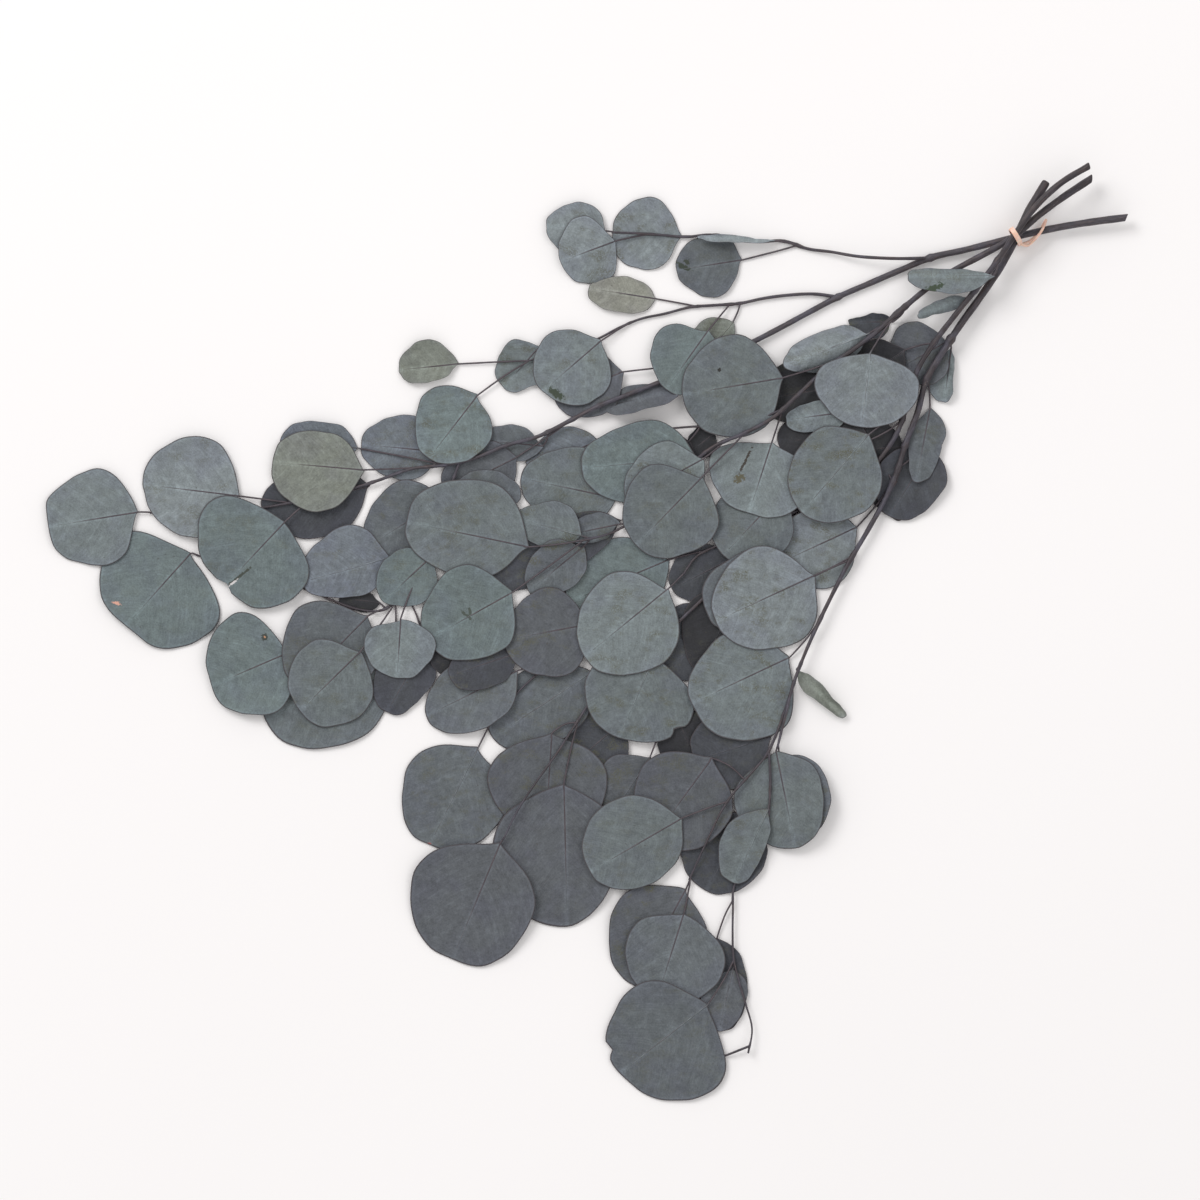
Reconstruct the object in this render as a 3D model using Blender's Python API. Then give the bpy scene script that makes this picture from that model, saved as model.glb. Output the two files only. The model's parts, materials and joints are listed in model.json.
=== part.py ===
"""A tied bunch of round-leaved eucalyptus stems, lying on its side, as solid pieces.

Four leafy stems cross where a rubber band ties them. Each stem with its twigs, leaf stalks and leaves
is one grown piece and one solid. The plan of every twig and leaf is drawn below. The heights are worked
out from the order in which the twigs and leaves lie over each other: each settles on what is under it.
"""
import bpy
import bmesh
import numpy as np

for old_object in list(bpy.data.objects):
    bpy.data.objects.remove(old_object)

# Driving dimensions, in millimetres
DRAWING_UNIT = 0.6        # the plan below is drawn in units of this size, across and down
PLAN_MIDDLE = (586.0, 634.0)  # the drawing's point that lies at the origin
BLADE = 0.6               # thickness of a leaf's blade
STALK = 1.15              # thickness of a leaf's stalk
STALK_SUNK = 3.6          # how far a stalk runs on inside its blade
STALK_SHORT = 0.35        # how far before the blade's edge it bends to follow the blade
STALK_ASIDE = 0.06        # how far it runs beside the blade's middle line
HEART = 0.48              # the middle of a blade, as a share of the way from its base to its tip
BASE_SHAPE = 0.2          # how much more pointed than round a blade's base is
TIP_SHAPE = -0.12         # and its tip, which is blunter
WIDEST = 0.1              # how much wider a blade is towards its base than towards its tip
BAND_WIDTH = 3.0
BAND_THICKNESS = 1.2
BAND_AIR = 0.7            # between the stems and the band round them
SLACK_RADIUS = 0.8        # of the band's slack strand
GAP_BETWEEN_STEMS = 0.45  # clear height between two different stems' parts
GAP_WITHIN_STEM = 0.25    # and between two parts of one stem
METRE = 0.001             # millimetres to Blender's metres
SMALLEST_EDGE = 0.004     # corners nearer than this are one corner

# How finely a leaf and a twig are cut into flat faces
RIM_POINTS = 12
INNER_POINTS = RIM_POINTS // 2
INNER_REACH = 0.55
STEM_SIDES = 6
TWIG_SIDES = 4
STALK_SIDES = 3
STEM_STEP = 20.0
TWIG_STEP = 15.0
BAND_CORNERS = 20

# How the settling runs: heights in millimetres, strengths as a share of each round's error
JOINT_REACH = 6.0        # parts of one stem may touch this near to where they join
BAND_LIFT_REACH = 26.0   # stems this near to the band leave room for it underneath
MAIN_SHARE = 0.2
LEAST_STRENGTH = 0.25
STACKING_ROUNDS = 60
SINKING_ROUNDS = 300
SETTLING_ROUNDS = 200
SINK_STEP = 0.12
PUSH_MOST = 0.6
TILT_MOST = 8.0
CURVE_STIFFNESS = 0.45
PLANE_STIFFNESS = 0.10
TWIG_STIFFNESS = 0.5
STEM_BEND = 110.0        # a stem's height wavers no faster than this length, a twig's than the next
TWIG_BEND = 60.0
STALK_SLOPE = 0.6
STALK_HOLD = 0.25

NODE_OF_STEM = {"A": "upper_stem", "B": "middle_stem", "C": "lower_stem", "E": "right_stem"}
LEAF_COLOURS = {"A": (0.165, 0.205, 0.195), "B": (0.150, 0.190, 0.185), "C": (0.140, 0.175, 0.170),
                "E": (0.155, 0.190, 0.180)}
BAND_COLOUR = (0.80, 0.52, 0.40)

# The plan. A twig is its parent, its width where it starts and ends, and its places as x, y and the level
# it lies at. A place without a level keeps the one before. Widths and places are in drawing units.
TWIGS = {
    "A": (None, 7.4, 1.8, [(1126, 218, 2.5), (1080, 224), (1042, 231), (1012, 238), (975, 248),
          (930, 258, 4.5), (885, 277), (838, 297), (795, 320), (755, 341), (710, 361), (665, 380),
          (625, 396), (585, 412), (548, 433), (505, 446), (460, 463), (415, 468), (365, 485),
          (320, 496, 4.5), (262, 508, 2.5), (205, 512, 1.6), (150, 513, 1.6)]),
    "A1": ("A", 3.4, 2.4, [(930, 258, 6), (900, 259), (860, 257), (825, 251), (797, 247), (785, 241),
          (765, 242), (738, 241), (718, 235), (700, 236), (683, 237), (648, 234, 5), (612, 233)]),
    "A2": ("A", 3.4, 1.8, [(838, 297, 6), (812, 294), (780, 296), (755, 300), (730, 305), (697, 306),
          (660, 315), (630, 322), (603, 337, 6), (575, 346), (548, 355), (525, 362)]),
    "A5": ("A", 3.0, 1.8, [(460, 463, 3.6), (450, 490), (438, 530), (420, 573), (397, 600), (375, 612),
          (345, 605), (315, 593), (280, 580, 2), (235, 566, 2), (196, 555, 2)]),
    "B": (None, 7.4, 2.0, [(1091, 179, 5), (1045, 210), (1018, 234), (985, 254), (958, 268),
          (920, 294, 7.5), (890, 320), (862, 344), (838, 360), (805, 387), (783, 411), (745, 433, 7.5),
          (705, 452, 4.7), (665, 492, 4.7), (625, 527, 6.5), (600, 535), (580, 541)]),
    "B2": ("B", 2.6, 1.8, [(783, 411, 7), (740, 424, 3), (690, 427, 1.5), (640, 432), (598, 440)]),
    "C": (None, 6.6, 1.8, [(1088, 167, 7), (1053, 189), (1030, 213), (1012, 238), (996, 262), (975, 290),
          (945, 328, 6), (918, 368, 6), (902, 420, 6), (885, 452, 3.5), (850, 487), (800, 508),
          (760, 545), (705, 597), (680, 620), (640, 660), (592, 700, 3.5), (577, 722, 7), (547, 768),
          (525, 797), (503, 840)]),
    "C1": ("C", 2.8, 2.2, [(800, 508, 3.5), (755, 530, 4.5), (725, 543), (700, 553), (683, 575)]),
    "C2": ("C", 2.6, 1.8, [(655, 645, 4), (620, 640), (590, 646), (560, 657), (520, 690), (487, 728)]),
    "C3": ("C", 2.6, 1.8, [(655, 645, 3.5), (668, 685), (660, 728)]),
    "E": (None, 8.8, 2.4, [(1046, 182, 3.5), (1028, 212), (1013, 243), (1003, 262), (985, 290),
          (962, 322, 7.5), (945, 348), (928, 375), (918, 410), (905, 445, 8.5), (893, 482), (872, 523),
          (850, 560), (822, 615), (800, 665), (790, 695), (783, 725), (777, 748)]),
    "E2": ("E", 3.0, 2.0, [(794, 684, 8), (783, 715), (772, 745), (762, 760), (745, 780), (727, 801, 7),
          (712, 830), (698, 860), (689, 880)]),
    "E3": ("E2", 2.6, 1.8, [(769, 750, 7), (770, 790), (765, 830), (747, 862), (734, 886), (733, 920),
          (733, 955, 5), (740, 985), (746, 1005), (752, 1027), (748, 1053)]),
    "E4": ("E3", 2.6, 2.0, [(750, 1046, 5), (742, 1053, 4.5), (722, 1057)]),
}

# A leaf is its twig, the place on it where the stalk starts (None is the twig's end), its base and tip, how
# far it reaches left and right of the line between them, and its level. A leaf is over every leaf of a lower
# level. A roll is how much higher its left edge stands than its right one, a curl is how far its sides turn
# up, both in millimetres, and a flat leaf lies on the ground. A base or tip above nothing is more pointed
# than round and below it is blunter, and a point is how many millimetres the tip stands out.
LEAVES = [
    # left end of stem A
    ("A", None, (139, 512), (46, 527), 46, 49, 3, dict(tip=-0.3, point=-1.5)),
    ("A", (290, 502), (239, 496), (140, 484), 46, 55, 3.2, dict(base=-0.15, tip=0.3)),
    ("A5", None, (191, 553), (124, 628), 68, 68, 1, dict(tip=-0.25, point=-2.5)),
    ("A", (312, 498), (286, 521), (222, 589), 60, 68, 5, dict(tip=-0.3, point=-3)),
    ("A", (372, 484), (368, 487), (262, 510), 40, 34, 1.2),
    ("A", (430, 467), (363, 470), (270, 462), 46, 36, 8),
    ("A", (445, 466), (357, 448), (281, 440), 24, 24, 3),
    ("A", (462, 462), (440, 452), (361, 444), 32, 34, 2),
    ("A2", None, (478, 395), (430, 457), 38, 43, 8),
    ("A", (548, 433), (543, 446), (478, 440), 18, 18, 2),
    ("A", (573, 420), (517, 457), (445, 494), 30, 34, 2.1),
    ("A5", (455, 478), (450, 490), (522, 492), 20, 26, 3.2),
    ("A5", (450, 490), (447, 497), (368, 546), 40, 38, 2.8),
    ("A5", (425, 562), (391, 557), (303, 582), 28, 42, 4.2),
    ("A5", (432, 545), (432, 556), (384, 601), 27, 30, 5),
    ("A5", (418, 576), (401, 618), (397, 679), 36, 34, 9),
    ("A5", (397, 600), (361, 651), (298, 713), 46, 42, 6),
    ("A5", (385, 607), (368, 616), (296, 690), 44, 54, 4),
    ("A5", (345, 605), (290, 652), (211, 686), 50, 57, 3),
    ("A5", (395, 601), (390, 652), (264, 722), 60, 40, 1),
    ("A5", (352, 607), (288, 664), (212, 686), 40, 38, 2),
    ("A5", (405, 592), (425, 645), (387, 712), 26, 34, 1.5),
    # twig A1, upper left
    ("A1", (718, 235), (680, 236), (612, 234), 36, 38, 3),
    ("A1", (650, 235), (616, 241), (560, 262), 34, 34, 4),
    ("A1", None, (606, 231), (545, 226), 26, 26, 2),
    ("A1", (797, 247), (742, 260), (677, 270), 32, 32, 3, dict(roll=-6, base=0.35)),
    ("A1", (797, 247), (775, 241), (695, 238), 3.5, 3.5, 6, dict(roll=20)),
    # twig A2
    ("A2", (730, 305), (708, 331), (667, 388), 33, 40, 5),
    ("A2", (740, 303), (733, 322), (694, 368), 19, 26, 3),
    ("A2", (697, 306), (657, 299), (587, 288), 20, 16, 5, dict(roll=16)),
    ("A2", (630, 322), (601, 341), (543, 391), 42, 39, 8),
    ("A", (700, 366), (623, 372), (554, 399), 32, 44, 4),
    ("A2", (552, 354), (541, 345), (503, 388), 24, 26, 3),
    ("A2", None, (458, 364), (398, 370), 16, 27, 6, dict(base=0.4)),
    ("A", (600, 406), (600, 408), (678, 390), 14, 14, 2),
    # stem B
    ("B", (585, 539), (529, 547), (403, 521), 42, 56, 7),
    ("B", None, (513, 592), (427, 640), 46, 50, 8),
    ("B", (590, 537), (582, 536), (516, 518), 22, 26, 5),
    ("B", (590, 537), (584, 546), (528, 592), 24, 26, 5),
    ("B", (628, 525), (620, 524), (562, 536), 12, 16, 4.8),
    ("B", (745, 433), (702, 477), (636, 545), 50, 48, 8),
    ("B", (725, 443), (703, 459), (628, 500), 36, 36, 6),
    ("B", (705, 452), (697, 458), (582, 468), 44, 42, 5),
    ("B", (645, 512), (620, 499), (521, 478), 38, 42, 4),
    ("B", (783, 411), (772, 442), (748, 515), 53, 53, 7),
    ("B", (838, 360), (783, 378), (682, 395), 52, 50, 7),
    ("B", (895, 316), (868, 334), (785, 366), 20, 20, 5, dict(curl=-18)),
    ("B", (905, 306), (893, 322), (850, 322), 16, 8, 1.5),
    ("B", (900, 312), (870, 353), (861, 427), 54, 52, 9),
    ("B2", None, (597, 441), (530, 470), 26, 28, 2),
    ("B2", (700, 427), (690, 440), (640, 480), 30, 30, 1),
    # stem C
    ("C", (996, 262), (992, 277), (905, 276), 18, 8, 9, dict(roll=18)),
    ("C", (975, 290), (971, 297), (915, 317), 7, 7, 6, dict(roll=14)),
    ("C", (905, 408), (868, 435), (802, 512), 48, 46, 8),
    ("C", (902, 420), (848, 412), (785, 420), 18, 14, 6.5, dict(roll=8)),
    ("C", (820, 500), (783, 492), (722, 556), 42, 42, 5),
    ("C1", None, (669, 588), (584, 657), 54, 48, 8),
    ("C1", (705, 551), (668, 560), (566, 603), 42, 42, 4, dict(flat=True)),
    ("C", (650, 650), (655, 655), (618, 739), 58, 54, 6),
    ("C2", (600, 643), (590, 624), (504, 640), 46, 42, 6),
    ("C2", (560, 657), (517, 671), (426, 716), 38, 34, 5),
    ("C2", (565, 655), (520, 652), (448, 676), 24, 22, 5.5),
    ("C2", (625, 640), (592, 672), (492, 738), 40, 40, 3),
    ("C3", None, (650, 757), (612, 815), 34, 34, 4),
    ("C3", (668, 690), (622, 722), (568, 768), 36, 36, 2),
    ("C", (577, 722), (552, 733), (545, 838), 60, 60, 4),
    ("C", (578, 720), (564, 783), (567, 926), 52, 74, 6),
    ("C", None, (500, 844), (451, 962), 59, 68, 8),
    ("C2", None, (478, 748), (429, 846), 53, 55, 3),
    ("C", (760, 545), (729, 560), (673, 588), 32, 30, 2),
    ("C", (705, 597), (722, 612), (668, 672), 38, 38, 1.5),
    ("C", (740, 565), (742, 590), (700, 668), 40, 40, 2.5),
    # stem E
    ("E", (893, 482), (857, 527), (775, 565), 43, 38, 4, dict(base=0.35)),
    ("E", (850, 560), (815, 575), (716, 621), 54, 50, 8),
    ("E", (853, 556), (806, 580), (702, 606), 44, 44, 6),
    ("E", (820, 619), (790, 657), (690, 704), 64, 47, 7),
    ("E2", (783, 715), (770, 737), (690, 762), 40, 40, 4.5),
    ("E", None, (776, 751), (795, 847), 40, 51, 6, dict(base=0.3)),
    ("E", None, (779, 752), (815, 831), 31, 42, 4),
    ("E3", (770, 790), (768, 809), (732, 886), 14, 30, 8, dict(roll=-14)),
    ("E3", (768, 812), (749, 817), (706, 890), 38, 55, 3),
    ("E2", (727, 801), (682, 818), (587, 873), 41, 50, 8),
    ("E2", (745, 780), (712, 758), (652, 840), 52, 50, 5),
    ("E2", None, (686, 889), (634, 984), 43, 54, 3),
    ("E2", None, (684, 913), (656, 1001), 56, 46, 5),
    ("E3", (733, 900), (717, 938), (724, 1031), 27, 32, 2),
    ("E3", (733, 950), (733, 968), (719, 1030), 20, 24, 3),
    ("E3", (733, 960), (708, 1004), (619, 1074), 70, 60, 7),
    ("E", (800, 665), (796, 670), (843, 716), 7, 8, 5, dict(roll=16, base=0, tip=-0.5)),
    ("E", (926, 378), (930, 408), (916, 481), 21, 14, 5),
    ("E", (898, 468), (932, 448), (889, 516), 33, 34, 3),
    ("E", (950, 340), (951, 350), (944, 403), 7, 23, 2),
    ("E", (950, 340), (946, 342), (896, 370), 30, 37, 3.5),
    ("C", (935, 345), (905, 350), (840, 395), 30, 30, 3.8),
    ("C", (902, 420), (870, 440), (780, 440), 34, 34, 2.2),
    ("C", (918, 385), (845, 385), (760, 400), 34, 34, 3.9),
    ("E", (893, 482), (885, 470), (905, 520), 22, 22, 2),
    ("C3", (664, 705), (674, 712), (700, 768), 28, 28, 0.9),
    ("B", (640, 498), (622, 520), (492, 590), 20, 30, 4.3),
    ("A5", (385, 607), (380, 603), (338, 597), 12, 12, 0.9),
    ("B2", (725, 425), (716, 432), (690, 452), 16, 16, 0.9),
    ("E", (905, 445), (903, 447), (855, 450), 24, 26, 0.9),
    ("C2", (540, 668), (502, 655), (430, 662), 20, 20, 3.5),
]

# The band: the ends of its strand across the bunch, and its slack strand, hooked round the upper stem. The
# slack strand's places are x, y and the height in millimetres over that stem's middle.
BAND_STRAND = ((1009.0, 228.0), (1021.0, 247.0))
SLACK_TWIG = "A"
SLACK_PLACES = [(1027, 246, 3.0), (1034, 240, 4.2), (1041, 231, 4.4), (1045, 222, 2.0),
                (1045, 221, -1.0), (1040, 230, -4.1), (1030, 241, -3.4)]


def place(point):
    """A point of the drawing, in millimetres from the origin, with y upwards."""
    return np.array([(point[0] - PLAN_MIDDLE[0]) * DRAWING_UNIT, (PLAN_MIDDLE[1] - point[1]) * DRAWING_UNIT])


def chance(number, low, high):
    """A repeatable value between low and high for a numbered leaf."""
    share = abs(np.sin(number * 12.9898 + 4.1414) * 43758.5453) % 1.0
    return low + (high - low) * share


def curve_through(points, steps):
    """The smooth curve through points, in so many steps from each to the next. Levels go straight."""
    points = np.asarray(points, float)
    padded = np.vstack([2 * points[0] - points[1], points, 2 * points[-1] - points[-2]])
    curve = []
    for before, start, end, after in zip(padded, padded[1:], padded[2:], padded[3:]):
        for t in np.arange(steps) / steps:
            curve.append((2 * start + (end - before) * t + (2 * before - 5 * start + 4 * end - after) * t ** 2
                          + (3 * start - before - 3 * end + after) * t ** 3) / 2)
    return np.array(curve + [points[-1]])


def smooth_route(points, spacing):
    """Even steps along the smooth curve through places, each with its level after x and y."""
    points = np.asarray(points, float)
    curve = curve_through(points[:, :2], 12)
    levels = np.interp(np.arange(len(curve)) / 12, np.arange(len(points)), points[:, 2])
    run = np.concatenate([[0], np.cumsum(np.hypot(*np.diff(curve, axis=0).T))])
    steps = np.linspace(0, run[-1], max(2, int(round(run[-1] / spacing)) + 1))
    return np.column_stack([np.interp(steps, run, column) for column in (*curve.T, levels)])


class Piece:
    """A leaf, twig or stalk as a sheet in plan. Each corner's height is a blend of the unknown heights."""

    def __init__(self, kind, stem, corners, faces, blends, half, level, ties):
        self.kind = kind
        self.stem = stem
        self.corners = np.asarray(corners, float)
        self.faces = np.asarray(faces, int)
        self.blends = blends
        self.half = np.asarray(half, float)
        self.level = np.asarray(level, float)
        self.ties = [np.asarray(tie, float) for tie in ties]
        edges = np.vstack([self.faces[:, [0, 1]], self.faces[:, [1, 2]], self.faces[:, [2, 0]]])
        self.edges = np.unique(np.sort(edges, axis=1), axis=0)
        self.low = self.corners.min(axis=0)
        self.high = self.corners.max(axis=0)


class Unknowns:
    """Counts the heights that the settling works out."""

    def __init__(self):
        self.count = 0

    def add(self):
        self.count += 1
        return self.count - 1


def ribbon(kind, stem, route, radius, level, blends, ties):
    """A twig or stalk: a strip along its middle line, both edges at the middle's height."""
    route = np.asarray(route, float)
    ahead = np.diff(route, axis=0)
    ahead /= np.hypot(*ahead.T)[:, None]
    ahead = np.vstack([ahead[:1], ahead, ahead[-1:]])
    middle = ahead[:-1] + ahead[1:]
    middle /= np.hypot(*middle.T)[:, None]
    mitre = 1 / np.clip((middle * ahead[1:]).sum(axis=1), 0.6, 1)
    side = np.column_stack([-middle[:, 1], middle[:, 0]]) * (np.asarray(radius) * mitre)[:, None]
    corners = np.vstack([route + side, route - side])
    count = len(route)
    faces = []
    for i in range(count - 1):
        faces.append((i, i + 1, count + i))
        faces.append((count + i, i + 1, count + i + 1))
    piece = Piece(kind, stem, corners, faces, blends + blends, np.tile(radius, 2), np.tile(level, 2), ties)
    piece.route = route
    piece.side = side
    piece.radius = np.asarray(radius, float)
    return piece


def nearest_on_route(route, point):
    """The step of a route and the share of that step nearest to a point."""
    start, end = route[:-1], route[1:]
    along = end - start
    share = np.clip(((point - start) * along).sum(axis=1) / (along ** 2).sum(axis=1), 0, 1)
    near = start + along * share[:, None]
    step = int(np.argmin(((near - point) ** 2).sum(axis=1)))
    return step, share[step], near[step]


def blend_of(first, second, share):
    """The blend of unknown heights a share of the way from one corner's blend to another's."""
    mixed = {}
    for blend, weight in ((first, 1 - share), (second, share)):
        for unknown, part in blend.items():
            mixed[unknown] = mixed.get(unknown, 0) + part * weight
    return mixed


def leaf_point(leaf, angle, reach):
    """A point of a leaf in plan: angle 0 is the tip, half a turn the base, reach 1 the edge."""
    ahead = leaf["tip"] - leaf["base"]
    length = np.hypot(*ahead)
    ahead = ahead / length
    leftward = np.array([-ahead[1], ahead[0]])
    half_width = leaf["left"] if np.sin(angle) > 0 else leaf["right"]
    forward = length * (0.5 + 0.5 * np.cos(angle)) + leaf["point"] * max(0, np.cos(angle)) ** 12
    base_share = (1 - np.cos(angle)) / 2
    shape = leaf["base_shape"] * base_share + leaf["tip_shape"] * (1 - base_share)
    sideways = half_width * np.sin(angle) * max(abs(np.sin(angle)), 1e-9) ** shape
    sideways *= 1 - WIDEST * np.cos(angle)
    heart = HEART * length
    return leaf["base"] + ahead * (heart + (forward - heart) * reach) + leftward * sideways * reach


def natural_height(leaf, angle, reach):
    """How high a point of the blade would stand above the leaf's own plane if nothing pressed on it."""
    across = np.sin(angle) * reach
    forward = np.cos(angle) * reach
    fold = leaf["fold"] * across ** 2
    droop = -leaf["droop"] * (forward + 1) ** 2 / 4
    wave = leaf["wave"] * np.sin(3 * angle + leaf["phase"]) * reach ** 3
    return fold + droop + wave + leaf["roll"] * across / 2


def leaf_mesh():
    """The angles and reaches of a leaf's corners, and its faces: a rim, an inner ring and a middle."""
    angles = [2 * np.pi * i / RIM_POINTS for i in range(RIM_POINTS)]
    angles += [2 * np.pi * i / INNER_POINTS for i in range(INNER_POINTS)]
    angles.append(0.0)
    reaches = [1.0] * RIM_POINTS + [INNER_REACH] * INNER_POINTS + [0.0]
    faces = []
    heart = RIM_POINTS + INNER_POINTS
    for i in range(INNER_POINTS):
        here, there = RIM_POINTS + i, RIM_POINTS + (i + 1) % INNER_POINTS
        rim = (2 * i, 2 * i + 1, (2 * i + 2) % RIM_POINTS)
        faces += [(rim[0], rim[1], here), (rim[1], there, here)]
        faces += [(rim[1], rim[2], there), (here, there, heart)]
    return np.array(angles), np.array(reaches), np.array(faces)


def draw_twigs(unknowns):
    """Every twig as a ribbon along its smooth route, joined to its parent's heights where it starts."""
    twigs = {}
    for name, (parent, first_width, last_width, points) in TWIGS.items():
        rows = []
        level = 0
        for point in points:
            level = point[2] if len(point) > 2 else level
            rows.append((*place(point), level))
        rows = smooth_route(rows, STEM_STEP if parent is None else TWIG_STEP)
        route, levels = rows[:, :2], rows[:, 2]
        blends = [{unknowns.add(): 1.0} for _ in levels]
        if parent is not None:
            step, share, near = nearest_on_route(twigs[parent].route, route[0])
            route[0] = near
            blends[0] = blend_of(twigs[parent].blends[step], twigs[parent].blends[step + 1], share)
        radius = np.linspace(first_width, last_width, len(route)) * DRAWING_UNIT / 2
        ties = [] if parent is None else [route[0]]
        twigs[name] = ribbon("twig", name[0], route, radius, levels, blends, ties)
        twigs[name].parent = parent
    return twigs


def draw_leaves(unknowns, twigs):
    """Every leaf as a sheet of flat faces, and the stalk that joins it to its twig."""
    angles, reaches, faces = leaf_mesh()
    leaves, stalks = [], []
    for number, entry in enumerate(LEAVES):
        twig_name, joint, base, tip, left, right, level = entry[:7]
        options = entry[7] if len(entry) > 7 else {}
        leaf = dict(base=place(base), tip=place(tip), left=left * DRAWING_UNIT, right=right * DRAWING_UNIT)
        leaf["base_shape"] = options.get("base", BASE_SHAPE)
        leaf["tip_shape"] = options.get("tip", TIP_SHAPE)
        leaf["point"] = options.get("point", chance(number, -1.4, 1.4))
        leaf["fold"] = options.get("curl", chance(number + 0.3, -2.0, 3.5))
        leaf["droop"] = chance(number + 0.5, -2.0, 5.0)
        leaf["wave"] = chance(number + 0.7, 0.2, 0.9)
        leaf["phase"] = chance(number + 0.9, 0, 6.28)
        leaf["roll"] = options.get("roll", chance(number + 0.1, -2.0, 2.0))
        flat = options.get("flat", False)
        if flat:
            leaf.update(fold=0, droop=0, wave=0, roll=0)
        width = leaf["left"] + leaf["right"]
        steepness = np.hypot(1, max(abs(leaf["roll"]), 2.2 * abs(leaf["fold"])) / width)
        half = BLADE / 2 * max(1.2, steepness)
        corners = [leaf_point(leaf, a, r) for a, r in zip(angles, reaches)]
        own = [unknowns.add() for _ in corners]
        blends = [{unknown: 1.0} for unknown in own]
        count = len(corners)
        halves, levels = [half] * count, [level] * count
        sheet = Piece("leaf", twig_name[0], corners, faces, blends, halves, levels, [leaf["base"]])
        sheet.unknowns = own
        sheet.natural = np.array([natural_height(leaf, a, r) for a, r in zip(angles, reaches)])
        sheet.flat = flat
        sheet.twig = twigs[twig_name]
        leaves.append(sheet)
        stalks.append(draw_stalk(unknowns, twigs[twig_name], joint, leaf, sheet, level))
        sheet.stalk = stalks[-1]
    return leaves, stalks


def draw_stalk(unknowns, twig, joint, leaf, sheet, level):
    """A leaf's stalk, from the middle of its twig to a place inside the blade."""
    if joint is None:
        step, share = len(twig.route) - 2, 0.86
        start = twig.route[-2] + (twig.route[-1] - twig.route[-2]) * share
    else:
        step, share, start = nearest_on_route(twig.route, place(joint))
    start_blend = blend_of(twig.blends[step], twig.blends[step + 1], share)
    twig_level = twig.level[step] + (twig.level[step + 1] - twig.level[step]) * share
    base_blend = sheet.blends[RIM_POINTS // 2]
    ahead = leaf["tip"] - leaf["base"]
    length = np.hypot(*ahead)
    aside = np.array([-ahead[1], ahead[0]]) / length * STALK_ASIDE
    sunk_share = min(STALK_SUNK, 0.3 * length) / (HEART * length)
    inner_blend = blend_of(base_blend, sheet.blends[-1], sunk_share)
    inner = leaf["base"] + ahead * HEART * sunk_share + aside
    route, blends, levels = [start], [start_blend], [twig_level]
    distance = np.hypot(*(leaf["base"] - start))
    if distance > 7.0:
        bend = ahead / length * min(distance * 0.12, 2.0)
        route.append((start + leaf["base"]) / 2 - bend)
        blends.append({unknowns.add(): 1.0})
        levels.append((twig_level + 2 * level) / 3)
    if distance > 0.8:
        route.append(leaf["base"] - ahead / length * STALK_SHORT + aside)
        blends.append(base_blend)
        levels.append(level)
    route.append(inner)
    blends.append(inner_blend)
    levels.append(level)
    radius = np.full(len(route), STALK / 2)
    stalk = ribbon("stalk", sheet.stem, route, radius, levels, blends, [start, leaf["base"]])
    stalk.twig = twig
    return stalk


def corners_over(points, sheet):
    """Which points lie on a sheet in plan, with the sheet's three corners round each and their shares."""
    a, b, c = (sheet.corners[sheet.faces[:, i]] for i in range(3))
    first, second = b - a, c - a
    turn = first[:, 0] * second[:, 1] - first[:, 1] * second[:, 0]
    turn = np.where(np.abs(turn) < 1e-9, 1e-9, turn)
    offset = points[:, None, :] - a[None]
    u = (offset[..., 0] * second[:, 1] - offset[..., 1] * second[:, 0]) / turn
    v = (first[:, 0] * offset[..., 1] - first[:, 1] * offset[..., 0]) / turn
    inside = (u >= -1e-6) & (v >= -1e-6) & (u + v <= 1 + 1e-6)
    held = np.nonzero(inside.any(axis=1))[0]
    face = inside[held].argmax(axis=1)
    u, v = u[held, face], v[held, face]
    return held, sheet.faces[face], np.column_stack([1 - u - v, u, v])


def meeting_places(one, other):
    """Every place where one sheet's pattern of corners and edges meets another's in plan."""
    near = (one.corners >= other.low).all(axis=1) & (one.corners <= other.high).all(axis=1)
    found = []
    ones = np.nonzero(near)[0]
    if len(ones):
        held, around, shares = corners_over(one.corners[ones], other)
        chosen = ones[held]
        own = np.column_stack([chosen] * 3)
        found.append((one.corners[chosen], own, np.tile([1.0, 0, 0], (len(own), 1)), around, shares))
    near = (other.corners >= one.low).all(axis=1) & (other.corners <= one.high).all(axis=1)
    others = np.nonzero(near)[0]
    if len(others):
        held, around, shares = corners_over(other.corners[others], one)
        chosen = others[held]
        own = np.column_stack([chosen] * 3)
        found.append((other.corners[chosen], around, shares, own, np.tile([1.0, 0, 0], (len(own), 1))))
    a, b = one.corners[one.edges[:, 0]], one.corners[one.edges[:, 1]]
    c, d = other.corners[other.edges[:, 0]], other.corners[other.edges[:, 1]]
    along, across = (b - a)[:, None], (d - c)[None]
    apart = c[None] - a[:, None]
    turn = along[..., 0] * across[..., 1] - along[..., 1] * across[..., 0]
    turn = np.where(np.abs(turn) < 1e-9, 1e-9, turn)
    s = (apart[..., 0] * across[..., 1] - apart[..., 1] * across[..., 0]) / turn
    t = (apart[..., 0] * along[..., 1] - apart[..., 1] * along[..., 0]) / turn
    i, j = np.nonzero((s > 0) & (s < 1) & (t > 0) & (t < 1))
    if len(i):
        s, t = s[i, j], t[i, j]
        spot = a[i] + (b - a)[i] * s[:, None]
        none = np.zeros(len(i))
        own = np.column_stack([one.edges[i], one.edges[i, 0]])
        around = np.column_stack([other.edges[j], other.edges[j, 0]])
        own_shares, around_shares = np.column_stack([1 - s, s, none]), np.column_stack([1 - t, t, none])
        found.append((spot, own, own_shares, around, around_shares))
    if not found:
        return None
    return [np.concatenate(column) for column in zip(*found)]


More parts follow.
